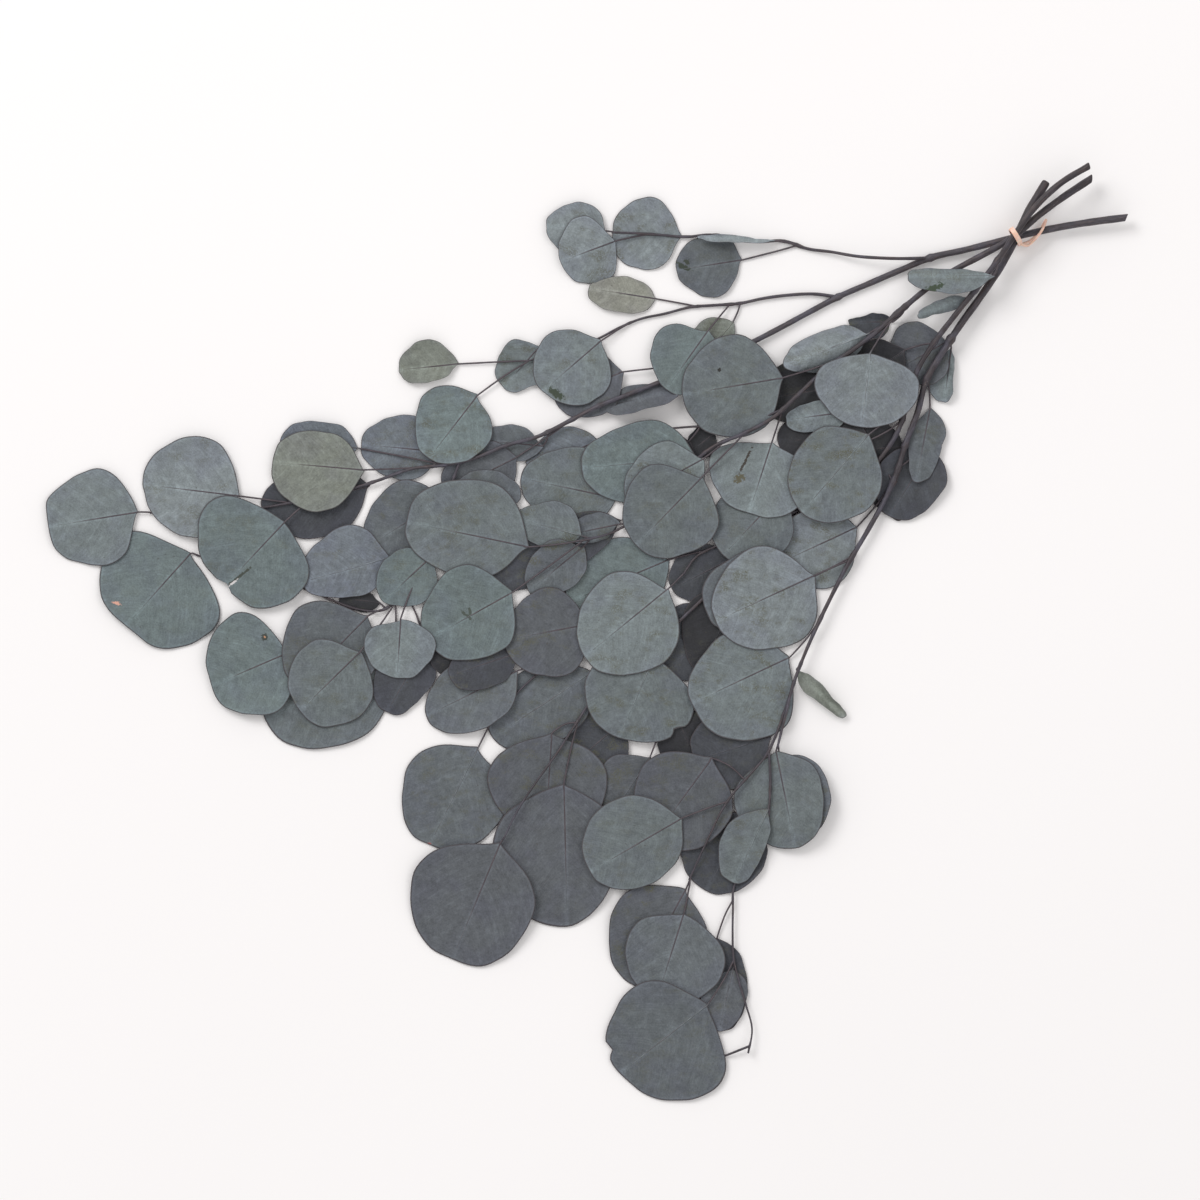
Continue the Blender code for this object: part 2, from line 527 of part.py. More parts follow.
def related(one, other):
    """Whether a stalk belongs to the other piece, so that the two are meant to meet."""
    for stalk, piece in ((one, other), (other, one)):
        if stalk.kind == "stalk" and (stalk.twig is piece or getattr(piece, "stalk", None) is stalk):
            return True
    return False


class Meetings:
    """All places where one piece must stay above another, as rows of shares of the unknown heights."""

    def __init__(self, pieces):
        rows, columns, shares, needed = [], [], [], []
        count = 0
        for i, one in enumerate(pieces):
            for other in pieces[i + 1:]:
                if (one.low > other.high).any() or (other.low > one.high).any() or related(one, other):
                    continue
                found = meeting_places(one, other)
                if found is None or not len(found[0]):
                    continue
                spots, own, own_shares, around, around_shares = found
                same_stem = one.stem == other.stem
                gap = GAP_WITHIN_STEM if same_stem else GAP_BETWEEN_STEMS
                rise = (one.level[own] * own_shares).sum(axis=1)
                rise -= (other.level[around] * around_shares).sum(axis=1)
                apart = (one.half[own] * own_shares).sum(axis=1)
                apart += (other.half[around] * around_shares).sum(axis=1)
                sign = 1.0 if rise.mean() >= 0 else -1.0
                for k, spot in enumerate(spots):
                    if same_stem and self.joined_near(one, other, spot):
                        continue
                    blend = {}
                    for piece, corners, weights, side in ((one, own[k], own_shares[k], sign),
                                                          (other, around[k], around_shares[k], -sign)):
                        for corner, weight in zip(corners, weights):
                            for unknown, part in piece.blends[corner].items():
                                blend[unknown] = blend.get(unknown, 0) + side * weight * part
                    if sum(part ** 2 for part in blend.values()) < LEAST_STRENGTH:
                        continue
                    rows += [count] * len(blend)
                    columns += list(blend)
                    shares += list(blend.values())
                    needed.append(apart[k] + gap)
                    count += 1
        self.rows = np.array(rows)
        self.columns = np.array(columns)
        self.shares = np.array(shares)
        self.needed = np.array(needed)
        self.strength = np.bincount(self.rows, self.shares ** 2, minlength=count)
        self.spread = np.bincount(self.rows, np.abs(self.shares), minlength=count) / self.strength

    @staticmethod
    def joined_near(one, other, spot):
        """Whether two pieces of one stem grow from each other close to a spot."""
        ties = one.ties + other.ties
        return any(np.hypot(*(spot - tie)) < JOINT_REACH for tie in ties)

    def clearances(self, heights):
        """How much more than needed each upper piece is above the lower one."""
        found = np.bincount(self.rows, self.shares * heights[self.columns], minlength=len(self.needed))
        return found - self.needed

    def push_apart(self, heights, active):
        """Move the heights so that the active places no longer lie too close, each by a share."""
        rows, columns, shares, order = active
        found = np.bincount(rows, shares * heights[columns], minlength=len(order))
        short = np.maximum(self.needed[order] - found, 0) / self.strength[order]
        moves = short[rows] * shares
        pushed = np.bincount(columns, moves, minlength=len(heights))
        spread = self.spread[order][rows] * (short[rows] > 0) * np.abs(shares)
        weight = np.bincount(columns, spread, minlength=len(heights))
        heights += np.clip(pushed / np.maximum(weight, 1.0), -PUSH_MOST, PUSH_MOST)

    def close_places(self, heights, reach):
        """The places whose clearance is small enough to matter for the next few rounds."""
        near = self.clearances(heights) < reach
        order = np.nonzero(near)[0]
        number = np.full(len(near), -1)
        number[order] = np.arange(len(order))
        kept = near[self.rows]
        return number[self.rows[kept]], self.columns[kept], self.shares[kept], order


def stack_up(meetings, leaf_unknowns, count):
    """Start heights: each piece lies level, as low as the pieces under it let it."""
    cell = np.arange(count)
    for own in leaf_unknowns:
        cell[own] = own[0]
    upper = meetings.shares > MAIN_SHARE
    lower = meetings.shares < -MAIN_SHARE
    above_rows, above_cells = meetings.rows[upper], cell[meetings.columns[upper]]
    below_rows, below_cells = meetings.rows[lower], cell[meetings.columns[lower]]
    level = np.zeros(count)
    for _ in range(STACKING_ROUNDS):
        needed = np.zeros(len(meetings.needed))
        np.maximum.at(needed, below_rows, level[below_cells])
        raised = level.copy()
        np.maximum.at(raised, above_cells, (needed + meetings.needed)[above_rows])
        if (raised == level).all():
            break
        level = raised
    return level[cell] + BLADE


def smoothing(corners, powers):
    """The matrix that fits a smooth surface of given powers to heights at corners."""
    centred = (corners - corners.mean(axis=0)) / np.abs(corners - corners.mean(axis=0)).max()
    basis = np.column_stack([centred[:, 0] ** p * centred[:, 1] ** q for p, q in powers])
    return basis @ np.linalg.pinv(basis)


def twig_smoothing(route, reach):
    """The matrix that fits a gently bending line to the heights along a twig."""
    run = np.concatenate([[0], np.cumsum(np.hypot(*np.diff(route, axis=0).T))])
    share = run / run[-1]
    bends = int(np.clip(run[-1] / reach, 1, len(route) - 3))
    basis = [np.ones(len(run)), share]
    basis += [np.cos(np.pi * share * k) for k in range(1, bends + 1)]
    basis = np.column_stack(basis)
    return basis @ np.linalg.pinv(basis)


def settle(unknowns, twigs, leaves, stalks):
    """Work out every height: the pieces sink together, keep their shapes and stay clear of each other."""
    pieces = list(twigs.values()) + leaves + stalks
    meetings = Meetings(pieces)
    leaf_unknowns = np.array([leaf.unknowns for leaf in leaves])
    heights = stack_up(meetings, leaf_unknowns, unknowns.count)
    natural = np.array([leaf.natural for leaf in leaves])
    planes = np.array([smoothing(leaf.corners, [(0, 0), (1, 0), (0, 1)]) for leaf in leaves])
    bowl = [(0, 0), (1, 0), (0, 1), (2, 0), (1, 1), (0, 2)]
    curves = np.array([smoothing(leaf.corners, bowl) for leaf in leaves])
    floor = np.zeros(len(heights))
    for piece in pieces:
        for blend, half in zip(piece.blends, piece.half):
            if len(blend) == 1:
                unknown = next(iter(blend))
                floor[unknown] = max(floor[unknown], half)
    lift_over_band(twigs, floor)
    flat = np.array([unknown for leaf in leaves if leaf.flat for unknown in leaf.unknowns], int)
    flat_height = np.array([leaf.half[0] for leaf in leaves if leaf.flat for _ in leaf.unknowns])
    twig_fits = [(twig, twig_smoothing(twig.route, TWIG_BEND if twig.parent else STEM_BEND))
                 for twig in twigs.values()]
    for turn in range(SINKING_ROUNDS + SETTLING_ROUNDS):
        sinking = turn < SINKING_ROUNDS
        if turn % 10 == 0:
            active = meetings.close_places(heights, 1.5)
        if sinking:
            heights -= SINK_STEP
        bent = heights[leaf_unknowns] - natural
        shape = 1.0 if sinking else max(0.0, 1 - (turn - SINKING_ROUNDS) / (0.6 * SETTLING_ROUNDS))
        to_curve = np.einsum("lij,lj->li", curves, bent) - bent
        to_plane = np.einsum("lij,lj->li", planes, bent) - bent
        bent += shape * (CURVE_STIFFNESS * to_curve + PLANE_STIFFNESS * to_plane)
        middles = bent.mean(axis=1, keepdims=True)
        tilted = np.einsum("lij,lj->li", planes, bent) - middles
        steep = np.abs(tilted).max(axis=1, keepdims=True)
        bent -= tilted * np.maximum(0, 1 - TILT_MOST / np.maximum(steep, 0.01))
        heights[leaf_unknowns] = natural + bent
        for twig, fit in twig_fits:
            line = twig_heights(twig, heights)
            moved = (fit @ line - line) * TWIG_STIFFNESS * shape
            for blend, change in zip(twig.blends, moved):
                if len(blend) == 1:
                    heights[next(iter(blend))] += change
        if shape > 0:
            for stalk, leaf in zip(stalks, leaves):
                hold_stalk(stalk, leaf, heights, STALK_HOLD * shape)
        for _ in range(2):
            meetings.push_apart(heights, active)
        heights = np.maximum(heights, floor)
        heights[flat] = flat_height
    return heights


def lift_over_band(twigs, floor):
    """Leave room for the band under the stems that it goes round."""
    centre = (place(BAND_STRAND[0]) + place(BAND_STRAND[1])) / 2
    for twig in twigs.values():
        for blend, point, radius in zip(twig.blends, twig.route, twig.radius):
            if twig.parent is None and np.hypot(*(point - centre)) < BAND_LIFT_REACH:
                floor[next(iter(blend))] = radius + BAND_AIR + BAND_THICKNESS + 2 * SLACK_RADIUS


def twig_heights(twig, heights):
    """The height of each step of a twig's or stalk's middle line."""
    return np.array([sum(heights[u] * part for u, part in blend.items())
                     for blend in twig.blends[:len(twig.route)]])


def hold_stalk(stalk, leaf, heights, strength):
    """Keep a leaf's base near the height of its twig, and its stalk's bend half way between."""
    line = twig_heights(stalk, heights)
    distance = np.hypot(*(leaf.ties[0] - stalk.route[0]))
    allowed = 1.0 + STALK_SLOPE * distance
    rise = heights[leaf.unknowns[RIM_POINTS // 2]] - line[0]
    excess = np.sign(rise) * max(0.0, abs(rise) - allowed)
    if excess and not leaf.flat:
        heights[leaf.unknowns] -= excess * strength
        for unknown, part in stalk.blends[0].items():
            heights[unknown] += excess * part * strength * 0.3
    if len(line) == 4:
        heights[next(iter(stalk.blends[1]))] += (0.5 * (line[0] + line[2]) - line[1]) * strength * 2


def material(name, colour, roughness):
    """A plain material of one colour."""
    made = bpy.data.materials.new(name)
    made.use_nodes = True
    shader = made.node_tree.nodes["Principled BSDF"]
    shader.inputs["Base Color"].default_value = (*colour, 1.0)
    shader.inputs["Roughness"].default_value = roughness
    shader.inputs["Metallic"].default_value = 0.0
    return made


def closed_object(name, corners, faces, middle):
    """A closed body from corners in millimetres, as an object in metres with its faces pointing out."""
    shape = bmesh.new()
    placed = (np.asarray(corners) - [*middle, 0]) * METRE
    made = [shape.verts.new(corner) for corner in placed]
    for face in faces:
        shape.faces.new([made[i] for i in face])
    bmesh.ops.recalc_face_normals(shape, faces=shape.faces[:])
    mesh = bpy.data.meshes.new(name)
    shape.to_mesh(mesh)
    shape.free()
    return bpy.data.objects.new(name, mesh)


def leaf_solid(leaf, heights, middle):
    """A blade: its upper and lower face are cut into the same triangles, with a strip round the rim."""
    level = heights[leaf.unknowns]
    count = len(level)
    upper = np.column_stack([leaf.corners, level + leaf.half])
    lower = np.column_stack([leaf.corners, level - leaf.half])
    faces = [tuple(face) for face in leaf.faces]
    faces += [tuple(count + i for i in reversed(face)) for face in leaf.faces]
    for i in range(RIM_POINTS):
        after = (i + 1) % RIM_POINTS
        faces.append((i, count + i, after))
        faces.append((after, count + i, count + after))
    return closed_object("leaf", np.vstack([upper, lower]), faces, middle)


def tube(name, rings, middle):
    """A closed tube through rings of corners."""
    sides = len(rings[0])
    faces = []
    for i in range(len(rings) - 1):
        for j in range(sides):
            after = (j + 1) % sides
            a, b, c, d = i * sides + j, i * sides + after, (i + 1) * sides + after, (i + 1) * sides + j
            faces.append((a, b, c))
            faces.append((a, c, d))
    faces.append(tuple(reversed(range(sides))))
    faces.append(tuple((len(rings) - 1) * sides + j for j in range(sides)))
    return closed_object(name, np.vstack(rings), faces, middle)


def twig_solid(twig, heights, sides, middle):
    """A twig or stalk: a many-sided tube along its middle line."""
    line = twig_heights(twig, heights)
    turns = 2 * np.pi * (np.arange(sides) + 0.5) / sides
    rings = []
    for point, height, side, radius in zip(twig.route, line, twig.side, twig.radius):
        ring = [(*(point + side * np.cos(turn)), height + radius * np.sin(turn)) for turn in turns]
        rings.append(np.array(ring))
    return tube("twig", rings, middle)


def fuse(name, solids, colour, roughness):
    """One grown piece: the union of its solids, as one object with its own material."""
    first, others = solids[0], bpy.data.collections.new(name + "_shapes")
    bpy.context.scene.collection.children.link(others)
    bpy.context.scene.collection.objects.link(first)
    for solid in solids[1:]:
        others.objects.link(solid)
    union = first.modifiers.new("union", "BOOLEAN")
    union.operation = "UNION"
    union.solver = "MANIFOLD"
    union.operand_type = "COLLECTION"
    union.collection = others
    bpy.context.view_layer.update()
    evaluated = first.evaluated_get(bpy.context.evaluated_depsgraph_get())
    mesh = bpy.data.meshes.new_from_object(evaluated)
    shape = bmesh.new()
    shape.from_mesh(mesh)
    bmesh.ops.triangulate(shape, faces=shape.faces[:])
    bmesh.ops.remove_doubles(shape, verts=shape.verts[:], dist=SMALLEST_EDGE * METRE)
    shape.to_mesh(mesh)
    shape.free()
    first.modifiers.clear()
    first.data = mesh
    first.name = name
    mesh.name = name
    mesh.materials.clear()
    mesh.materials.append(material(name, colour, roughness))
    for solid in solids[1:]:
        bpy.data.objects.remove(solid)
    bpy.data.collections.remove(others)
    return first


def band_profile(twigs, heights):
    """The inner outline of the band: the hull of the stems where it goes round them, with some air."""
    along = place(BAND_STRAND[1]) - place(BAND_STRAND[0])
    along /= np.hypot(*along)
    through = np.array([along[1], -along[0]])
    centre = (place(BAND_STRAND[0]) + place(BAND_STRAND[1])) / 2
    spots = []
    for twig in twigs.values():
        if twig.parent:
            continue
        line = twig_heights(twig, heights)
        for share in np.linspace(0, 1, 9)[:-1]:
            for i in range(len(line) - 1):
                point = twig.route[i] + (twig.route[i + 1] - twig.route[i]) * share - centre
                if abs(point @ through) > BAND_WIDTH or abs(point @ along) > 4 * BAND_WIDTH:
                    continue
                height = line[i] + (line[i + 1] - line[i]) * share
                reach = twig.radius[i] + BAND_AIR
                for turn in np.linspace(0, 2 * np.pi, 16, endpoint=False):
                    spots.append((point @ along + 1.12 * reach * np.cos(turn), height + reach * np.sin(turn)))
    shape = bmesh.new()
    for x, z in spots:
        shape.verts.new((x, z, 0))
    hull = bmesh.ops.convex_hull(shape, input=shape.verts[:])
    rim = {v for v in hull["geom"] if isinstance(v, bmesh.types.BMVert)}
    corners = np.array([(v.co.x, v.co.y) for v in rim])
    shape.free()
    heart = corners.mean(axis=0)
    turns = np.arctan2(*(corners - heart).T[::-1])
    return centre, along, through, corners[np.argsort(turns)]


def band_solid(twigs, heights, middle):
    """The rubber band: a flat ring round the crossing stems, and a slack strand hooked round one of them."""
    centre, along, through, inner = band_profile(twigs, heights)
    heart = inner.mean(axis=0)
    turns = 2 * np.pi * np.arange(BAND_CORNERS) / BAND_CORNERS
    looks = np.column_stack([np.cos(turns), np.sin(turns)])
    nearest = [ray_to_outline(heart, look, inner) for look in looks]
    rings = []
    for look, distance in zip(looks, nearest):
        ring = []
        for depth, side in ((0, -0.5), (0, 0.5), (BAND_THICKNESS, 0.5), (BAND_THICKNESS, -0.5)):
            spot = heart + look * (distance + depth)
            plan = centre + along * spot[0] + through * side * BAND_WIDTH
            ring.append((plan[0], plan[1], spot[1]))
        rings.append(ring)
    corners = np.array(rings).reshape(-1, 3)
    faces = []
    for i in range(BAND_CORNERS):
        for j in range(4):
            a, b = i * 4 + j, i * 4 + (j + 1) % 4
            c, d = ((i + 1) % BAND_CORNERS) * 4 + (j + 1) % 4, ((i + 1) % BAND_CORNERS) * 4 + j
            faces.append((a, b, c))
            faces.append((a, c, d))
    return closed_object("ring", corners, faces, middle)


def slack_solid(twigs, heights, middle):
    """The band's slack strand: a thin tube from the ring, over and under one stem and back."""
    stem = twigs[SLACK_TWIG]
    line = twig_heights(stem, heights)
    step, share, _ = nearest_on_route(stem.route, place(SLACK_PLACES[2]))
    level = line[step] + (line[step + 1] - line[step]) * share
    centre, along, _, inner = band_profile(twigs, heights)
    heart = inner.mean(axis=0)
    wall = heart[0] + ray_to_outline(heart, np.array([1.0, 0.0]), inner) + BAND_THICKNESS / 2
    tied = centre + along * wall
    places = [(*tied, heart[1] + 2 * SLACK_RADIUS)]
    places += [(*place(spot), level + spot[2]) for spot in SLACK_PLACES]
    places.append((*tied, heart[1] - 2 * SLACK_RADIUS))
    path = curve_through(places, 2)
    outward = place(SLACK_PLACES[3]) - tied
    side = np.array([-outward[1], outward[0], 0]) / np.hypot(*outward)
    turns = 2 * np.pi * np.arange(STEM_SIDES) / STEM_SIDES
    rings = []
    for i, point in enumerate(path):
        ahead = path[min(i + 1, len(path) - 1)] - path[max(i - 1, 0)]
        over = np.cross(side, ahead)
        over /= np.linalg.norm(over)
        rings.append(point + SLACK_RADIUS * (np.outer(np.cos(turns), side) + np.outer(np.sin(turns), over)))
    return tube("slack", rings, middle)


def ray_to_outline(start, look, outline):
    """How far a ray runs inside a closed outline."""
    for a, b in zip(outline, np.roll(outline, -1, axis=0)):
        edge = b - a
        turn = look[0] * edge[1] - look[1] * edge[0]
        if abs(turn) < 1e-9:
            continue
        distance = ((a - start)[0] * edge[1] - (a - start)[1] * edge[0]) / turn
        share = ((a - start)[0] * look[1] - (a - start)[1] * look[0]) / turn
        if distance > 0 and -1e-6 <= share <= 1 + 1e-6:
            return distance
    return 0.0


def build():
    """Draw the plan, settle its heights, and make each stem and the band one solid."""
    unknowns = Unknowns()
    twigs = draw_twigs(unknowns)
    leaves, stalks = draw_leaves(unknowns, twigs)
    heights = settle(unknowns, twigs, leaves, stalks)
    pieces = list(twigs.values()) + leaves
    low = np.min([piece.low for piece in pieces], axis=0)
    high = np.max([piece.high for piece in pieces], axis=0)
    middle = (low + high) / 2
    for stem, name in NODE_OF_STEM.items():
        solids = [twig_solid(twig, heights, TWIG_SIDES if twig.parent else STEM_SIDES, middle)
                  for twig in twigs.values() if twig.stem == stem]
        solids += [leaf_solid(leaf, heights, middle) for leaf in leaves if leaf.stem == stem]
        solids += [twig_solid(stalk, heights, STALK_SIDES, middle) for stalk in stalks if stalk.stem == stem]
        fuse(name, solids, LEAF_COLOURS[stem], 0.75)
    ring = band_solid(twigs, heights, middle)
    fuse("rubber_band", [ring, slack_solid(twigs, heights, middle)], BAND_COLOUR, 0.55)


build()
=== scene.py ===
import json

import bmesh
import bpy
import numpy as np
from mathutils import Matrix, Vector
from mathutils.kdtree import KDTree

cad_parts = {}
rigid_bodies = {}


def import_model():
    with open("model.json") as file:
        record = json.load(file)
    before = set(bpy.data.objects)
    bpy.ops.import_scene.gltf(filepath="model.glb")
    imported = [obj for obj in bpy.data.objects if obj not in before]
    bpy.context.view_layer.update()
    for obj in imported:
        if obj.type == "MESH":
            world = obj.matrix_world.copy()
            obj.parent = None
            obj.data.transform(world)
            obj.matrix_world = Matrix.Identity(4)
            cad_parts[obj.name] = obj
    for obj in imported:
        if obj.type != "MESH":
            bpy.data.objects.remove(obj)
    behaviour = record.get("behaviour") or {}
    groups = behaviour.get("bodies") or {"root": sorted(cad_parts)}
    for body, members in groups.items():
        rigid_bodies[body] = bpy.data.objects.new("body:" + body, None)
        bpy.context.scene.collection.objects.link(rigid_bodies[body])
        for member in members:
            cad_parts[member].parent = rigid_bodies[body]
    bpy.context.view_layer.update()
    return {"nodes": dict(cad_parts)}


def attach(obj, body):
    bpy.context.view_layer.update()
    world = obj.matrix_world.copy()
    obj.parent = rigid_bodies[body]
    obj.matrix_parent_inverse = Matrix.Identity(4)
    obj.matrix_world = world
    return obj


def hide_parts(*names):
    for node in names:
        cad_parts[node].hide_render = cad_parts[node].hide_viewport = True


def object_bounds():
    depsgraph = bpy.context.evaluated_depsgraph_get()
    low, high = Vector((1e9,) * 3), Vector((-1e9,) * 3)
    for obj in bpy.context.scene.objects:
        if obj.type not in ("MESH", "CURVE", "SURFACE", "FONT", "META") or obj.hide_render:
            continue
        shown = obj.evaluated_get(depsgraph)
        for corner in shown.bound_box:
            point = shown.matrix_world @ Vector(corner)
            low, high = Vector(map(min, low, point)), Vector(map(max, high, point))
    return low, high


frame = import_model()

# The plan of the bunch. Four stems of round-leaved eucalyptus lie flat and cross where a rubber band ties
# them. The plan says where each twig and leaf runs, seen from above, and the heights are read off the packed
# solids.
METRE = 0.001             # millimetres to metres
DRAWING_UNIT = 0.6        # millimetres for one unit of the plan, across and down
PLAN_MIDDLE = (586.0, 634.0)  # the plan's point that lies at the origin before the bunch is centred
RIM_POINTS = 12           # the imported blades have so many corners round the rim,
INNER_POINTS = 6          # so many round an inner ring,
INNER_REACH = 0.55        # and the ring lies this far out from the blade's heart
HEART = 0.48              # which is this share of the way from its base to its tip
BASE_SHAPE = 0.2          # how much more pointed than round a blade's base is
TIP_SHAPE = -0.12         # and its tip, which is blunter
WIDEST = 0.1              # how much wider a blade is towards its base than towards its tip
POINT_SHARPNESS = 12      # how closely a leaf's point keeps to its tip
CORNER_SHARPNESS = 9      # and its drawn-in corner to its base
NARROW = 0.42             # a blade narrower than this share of its length is seen nearly edge on
OWN_POINTS = (-1.4, 1.4)  # the millimetres between which a leaf's point lies where the plan names none
TWIG_SIDES = 4
CURVE_STEPS = 12          # steps of the curve from each of a twig's places to the next
STEM_STEP = 20.0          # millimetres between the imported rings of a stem,
TWIG_STEP = 15.0          # and of a twig
SHARPEST_BEND = 0.6       # a bend whose cosine is below this gets no wider mitre
SAME_SPOT = 0.03          # two corners this near in plan are one above the other
TWIG_PAIR = (0.9, 1.1)    # how far apart such a pair may be, as a share of what the twig's width gives,
BLADE_PAIR = (0.5, 6.0)   # and in millimetres, on a blade

NODE_OF_STEM = {"A": "upper_stem", "B": "middle_stem", "C": "lower_stem", "E": "right_stem"}

# A twig is its parent, its width where it starts and ends, and its places as x and y, in drawing units.
TWIGS = {
    "A": (None, 7.4, 1.8, [(1126, 218), (1080, 224), (1042, 231), (1012, 238), (975, 248), (930, 258),
          (885, 277), (838, 297), (795, 320), (755, 341), (710, 361), (665, 380), (625, 396), (585, 412),
          (548, 433), (505, 446), (460, 463), (415, 468), (365, 485), (320, 496), (262, 508), (205, 512),
          (150, 513)]),
    "A1": ("A", 3.4, 2.4, [(930, 258), (900, 259), (860, 257), (825, 251), (797, 247), (785, 241),
          (765, 242), (738, 241), (718, 235), (700, 236), (683, 237), (648, 234), (612, 233)]),
    "A2": ("A", 3.4, 1.8, [(838, 297), (812, 294), (780, 296), (755, 300), (730, 305), (697, 306),
          (660, 315), (630, 322), (603, 337), (575, 346), (548, 355), (525, 362)]),
    "A5": ("A", 3.0, 1.8, [(460, 463), (450, 490), (438, 530), (420, 573), (397, 600), (375, 612),
          (345, 605), (315, 593), (280, 580), (235, 566), (196, 555)]),
    "B": (None, 7.4, 2.0, [(1091, 179), (1045, 210), (1018, 234), (985, 254), (958, 268), (920, 294),
          (890, 320), (862, 344), (838, 360), (805, 387), (783, 411), (745, 433), (705, 452), (665, 492),
          (625, 527), (600, 535), (580, 541)]),
    "B2": ("B", 2.6, 1.8, [(783, 411), (740, 424), (690, 427), (640, 432), (598, 440)]),
    "C": (None, 6.6, 1.8, [(1088, 167), (1053, 189), (1030, 213), (1012, 238), (996, 262), (975, 290),
          (945, 328), (918, 368), (902, 420), (885, 452), (850, 487), (800, 508), (760, 545), (705, 597),
          (680, 620), (640, 660), (592, 700), (577, 722), (547, 768), (525, 797), (503, 840)]),
    "C1": ("C", 2.8, 2.2, [(800, 508), (755, 530), (725, 543), (700, 553), (683, 575)]),
    "C2": ("C", 2.6, 1.8, [(655, 645), (620, 640), (590, 646), (560, 657), (520, 690), (487, 728)]),
    "C3": ("C", 2.6, 1.8, [(655, 645), (668, 685), (660, 728)]),
    "E": (None, 8.8, 2.4, [(1046, 182), (1028, 212), (1013, 243), (1003, 262), (985, 290), (962, 322),
          (945, 348), (928, 375), (918, 410), (905, 445), (893, 482), (872, 523), (850, 560), (822, 615),
          (800, 665), (790, 695), (783, 725), (777, 748)]),
    "E2": ("E", 3.0, 2.0, [(794, 684), (783, 715), (772, 745), (762, 760), (745, 780), (727, 801),
          (712, 830), (698, 860), (689, 880)]),
    "E3": ("E2", 2.6, 1.8, [(769, 750), (770, 790), (765, 830), (747, 862), (734, 886), (733, 920),
          (733, 955), (740, 985), (746, 1005), (752, 1027), (748, 1053)]),
    "E4": ("E3", 2.6, 2.0, [(750, 1046), (742, 1053), (722, 1057)]),
}

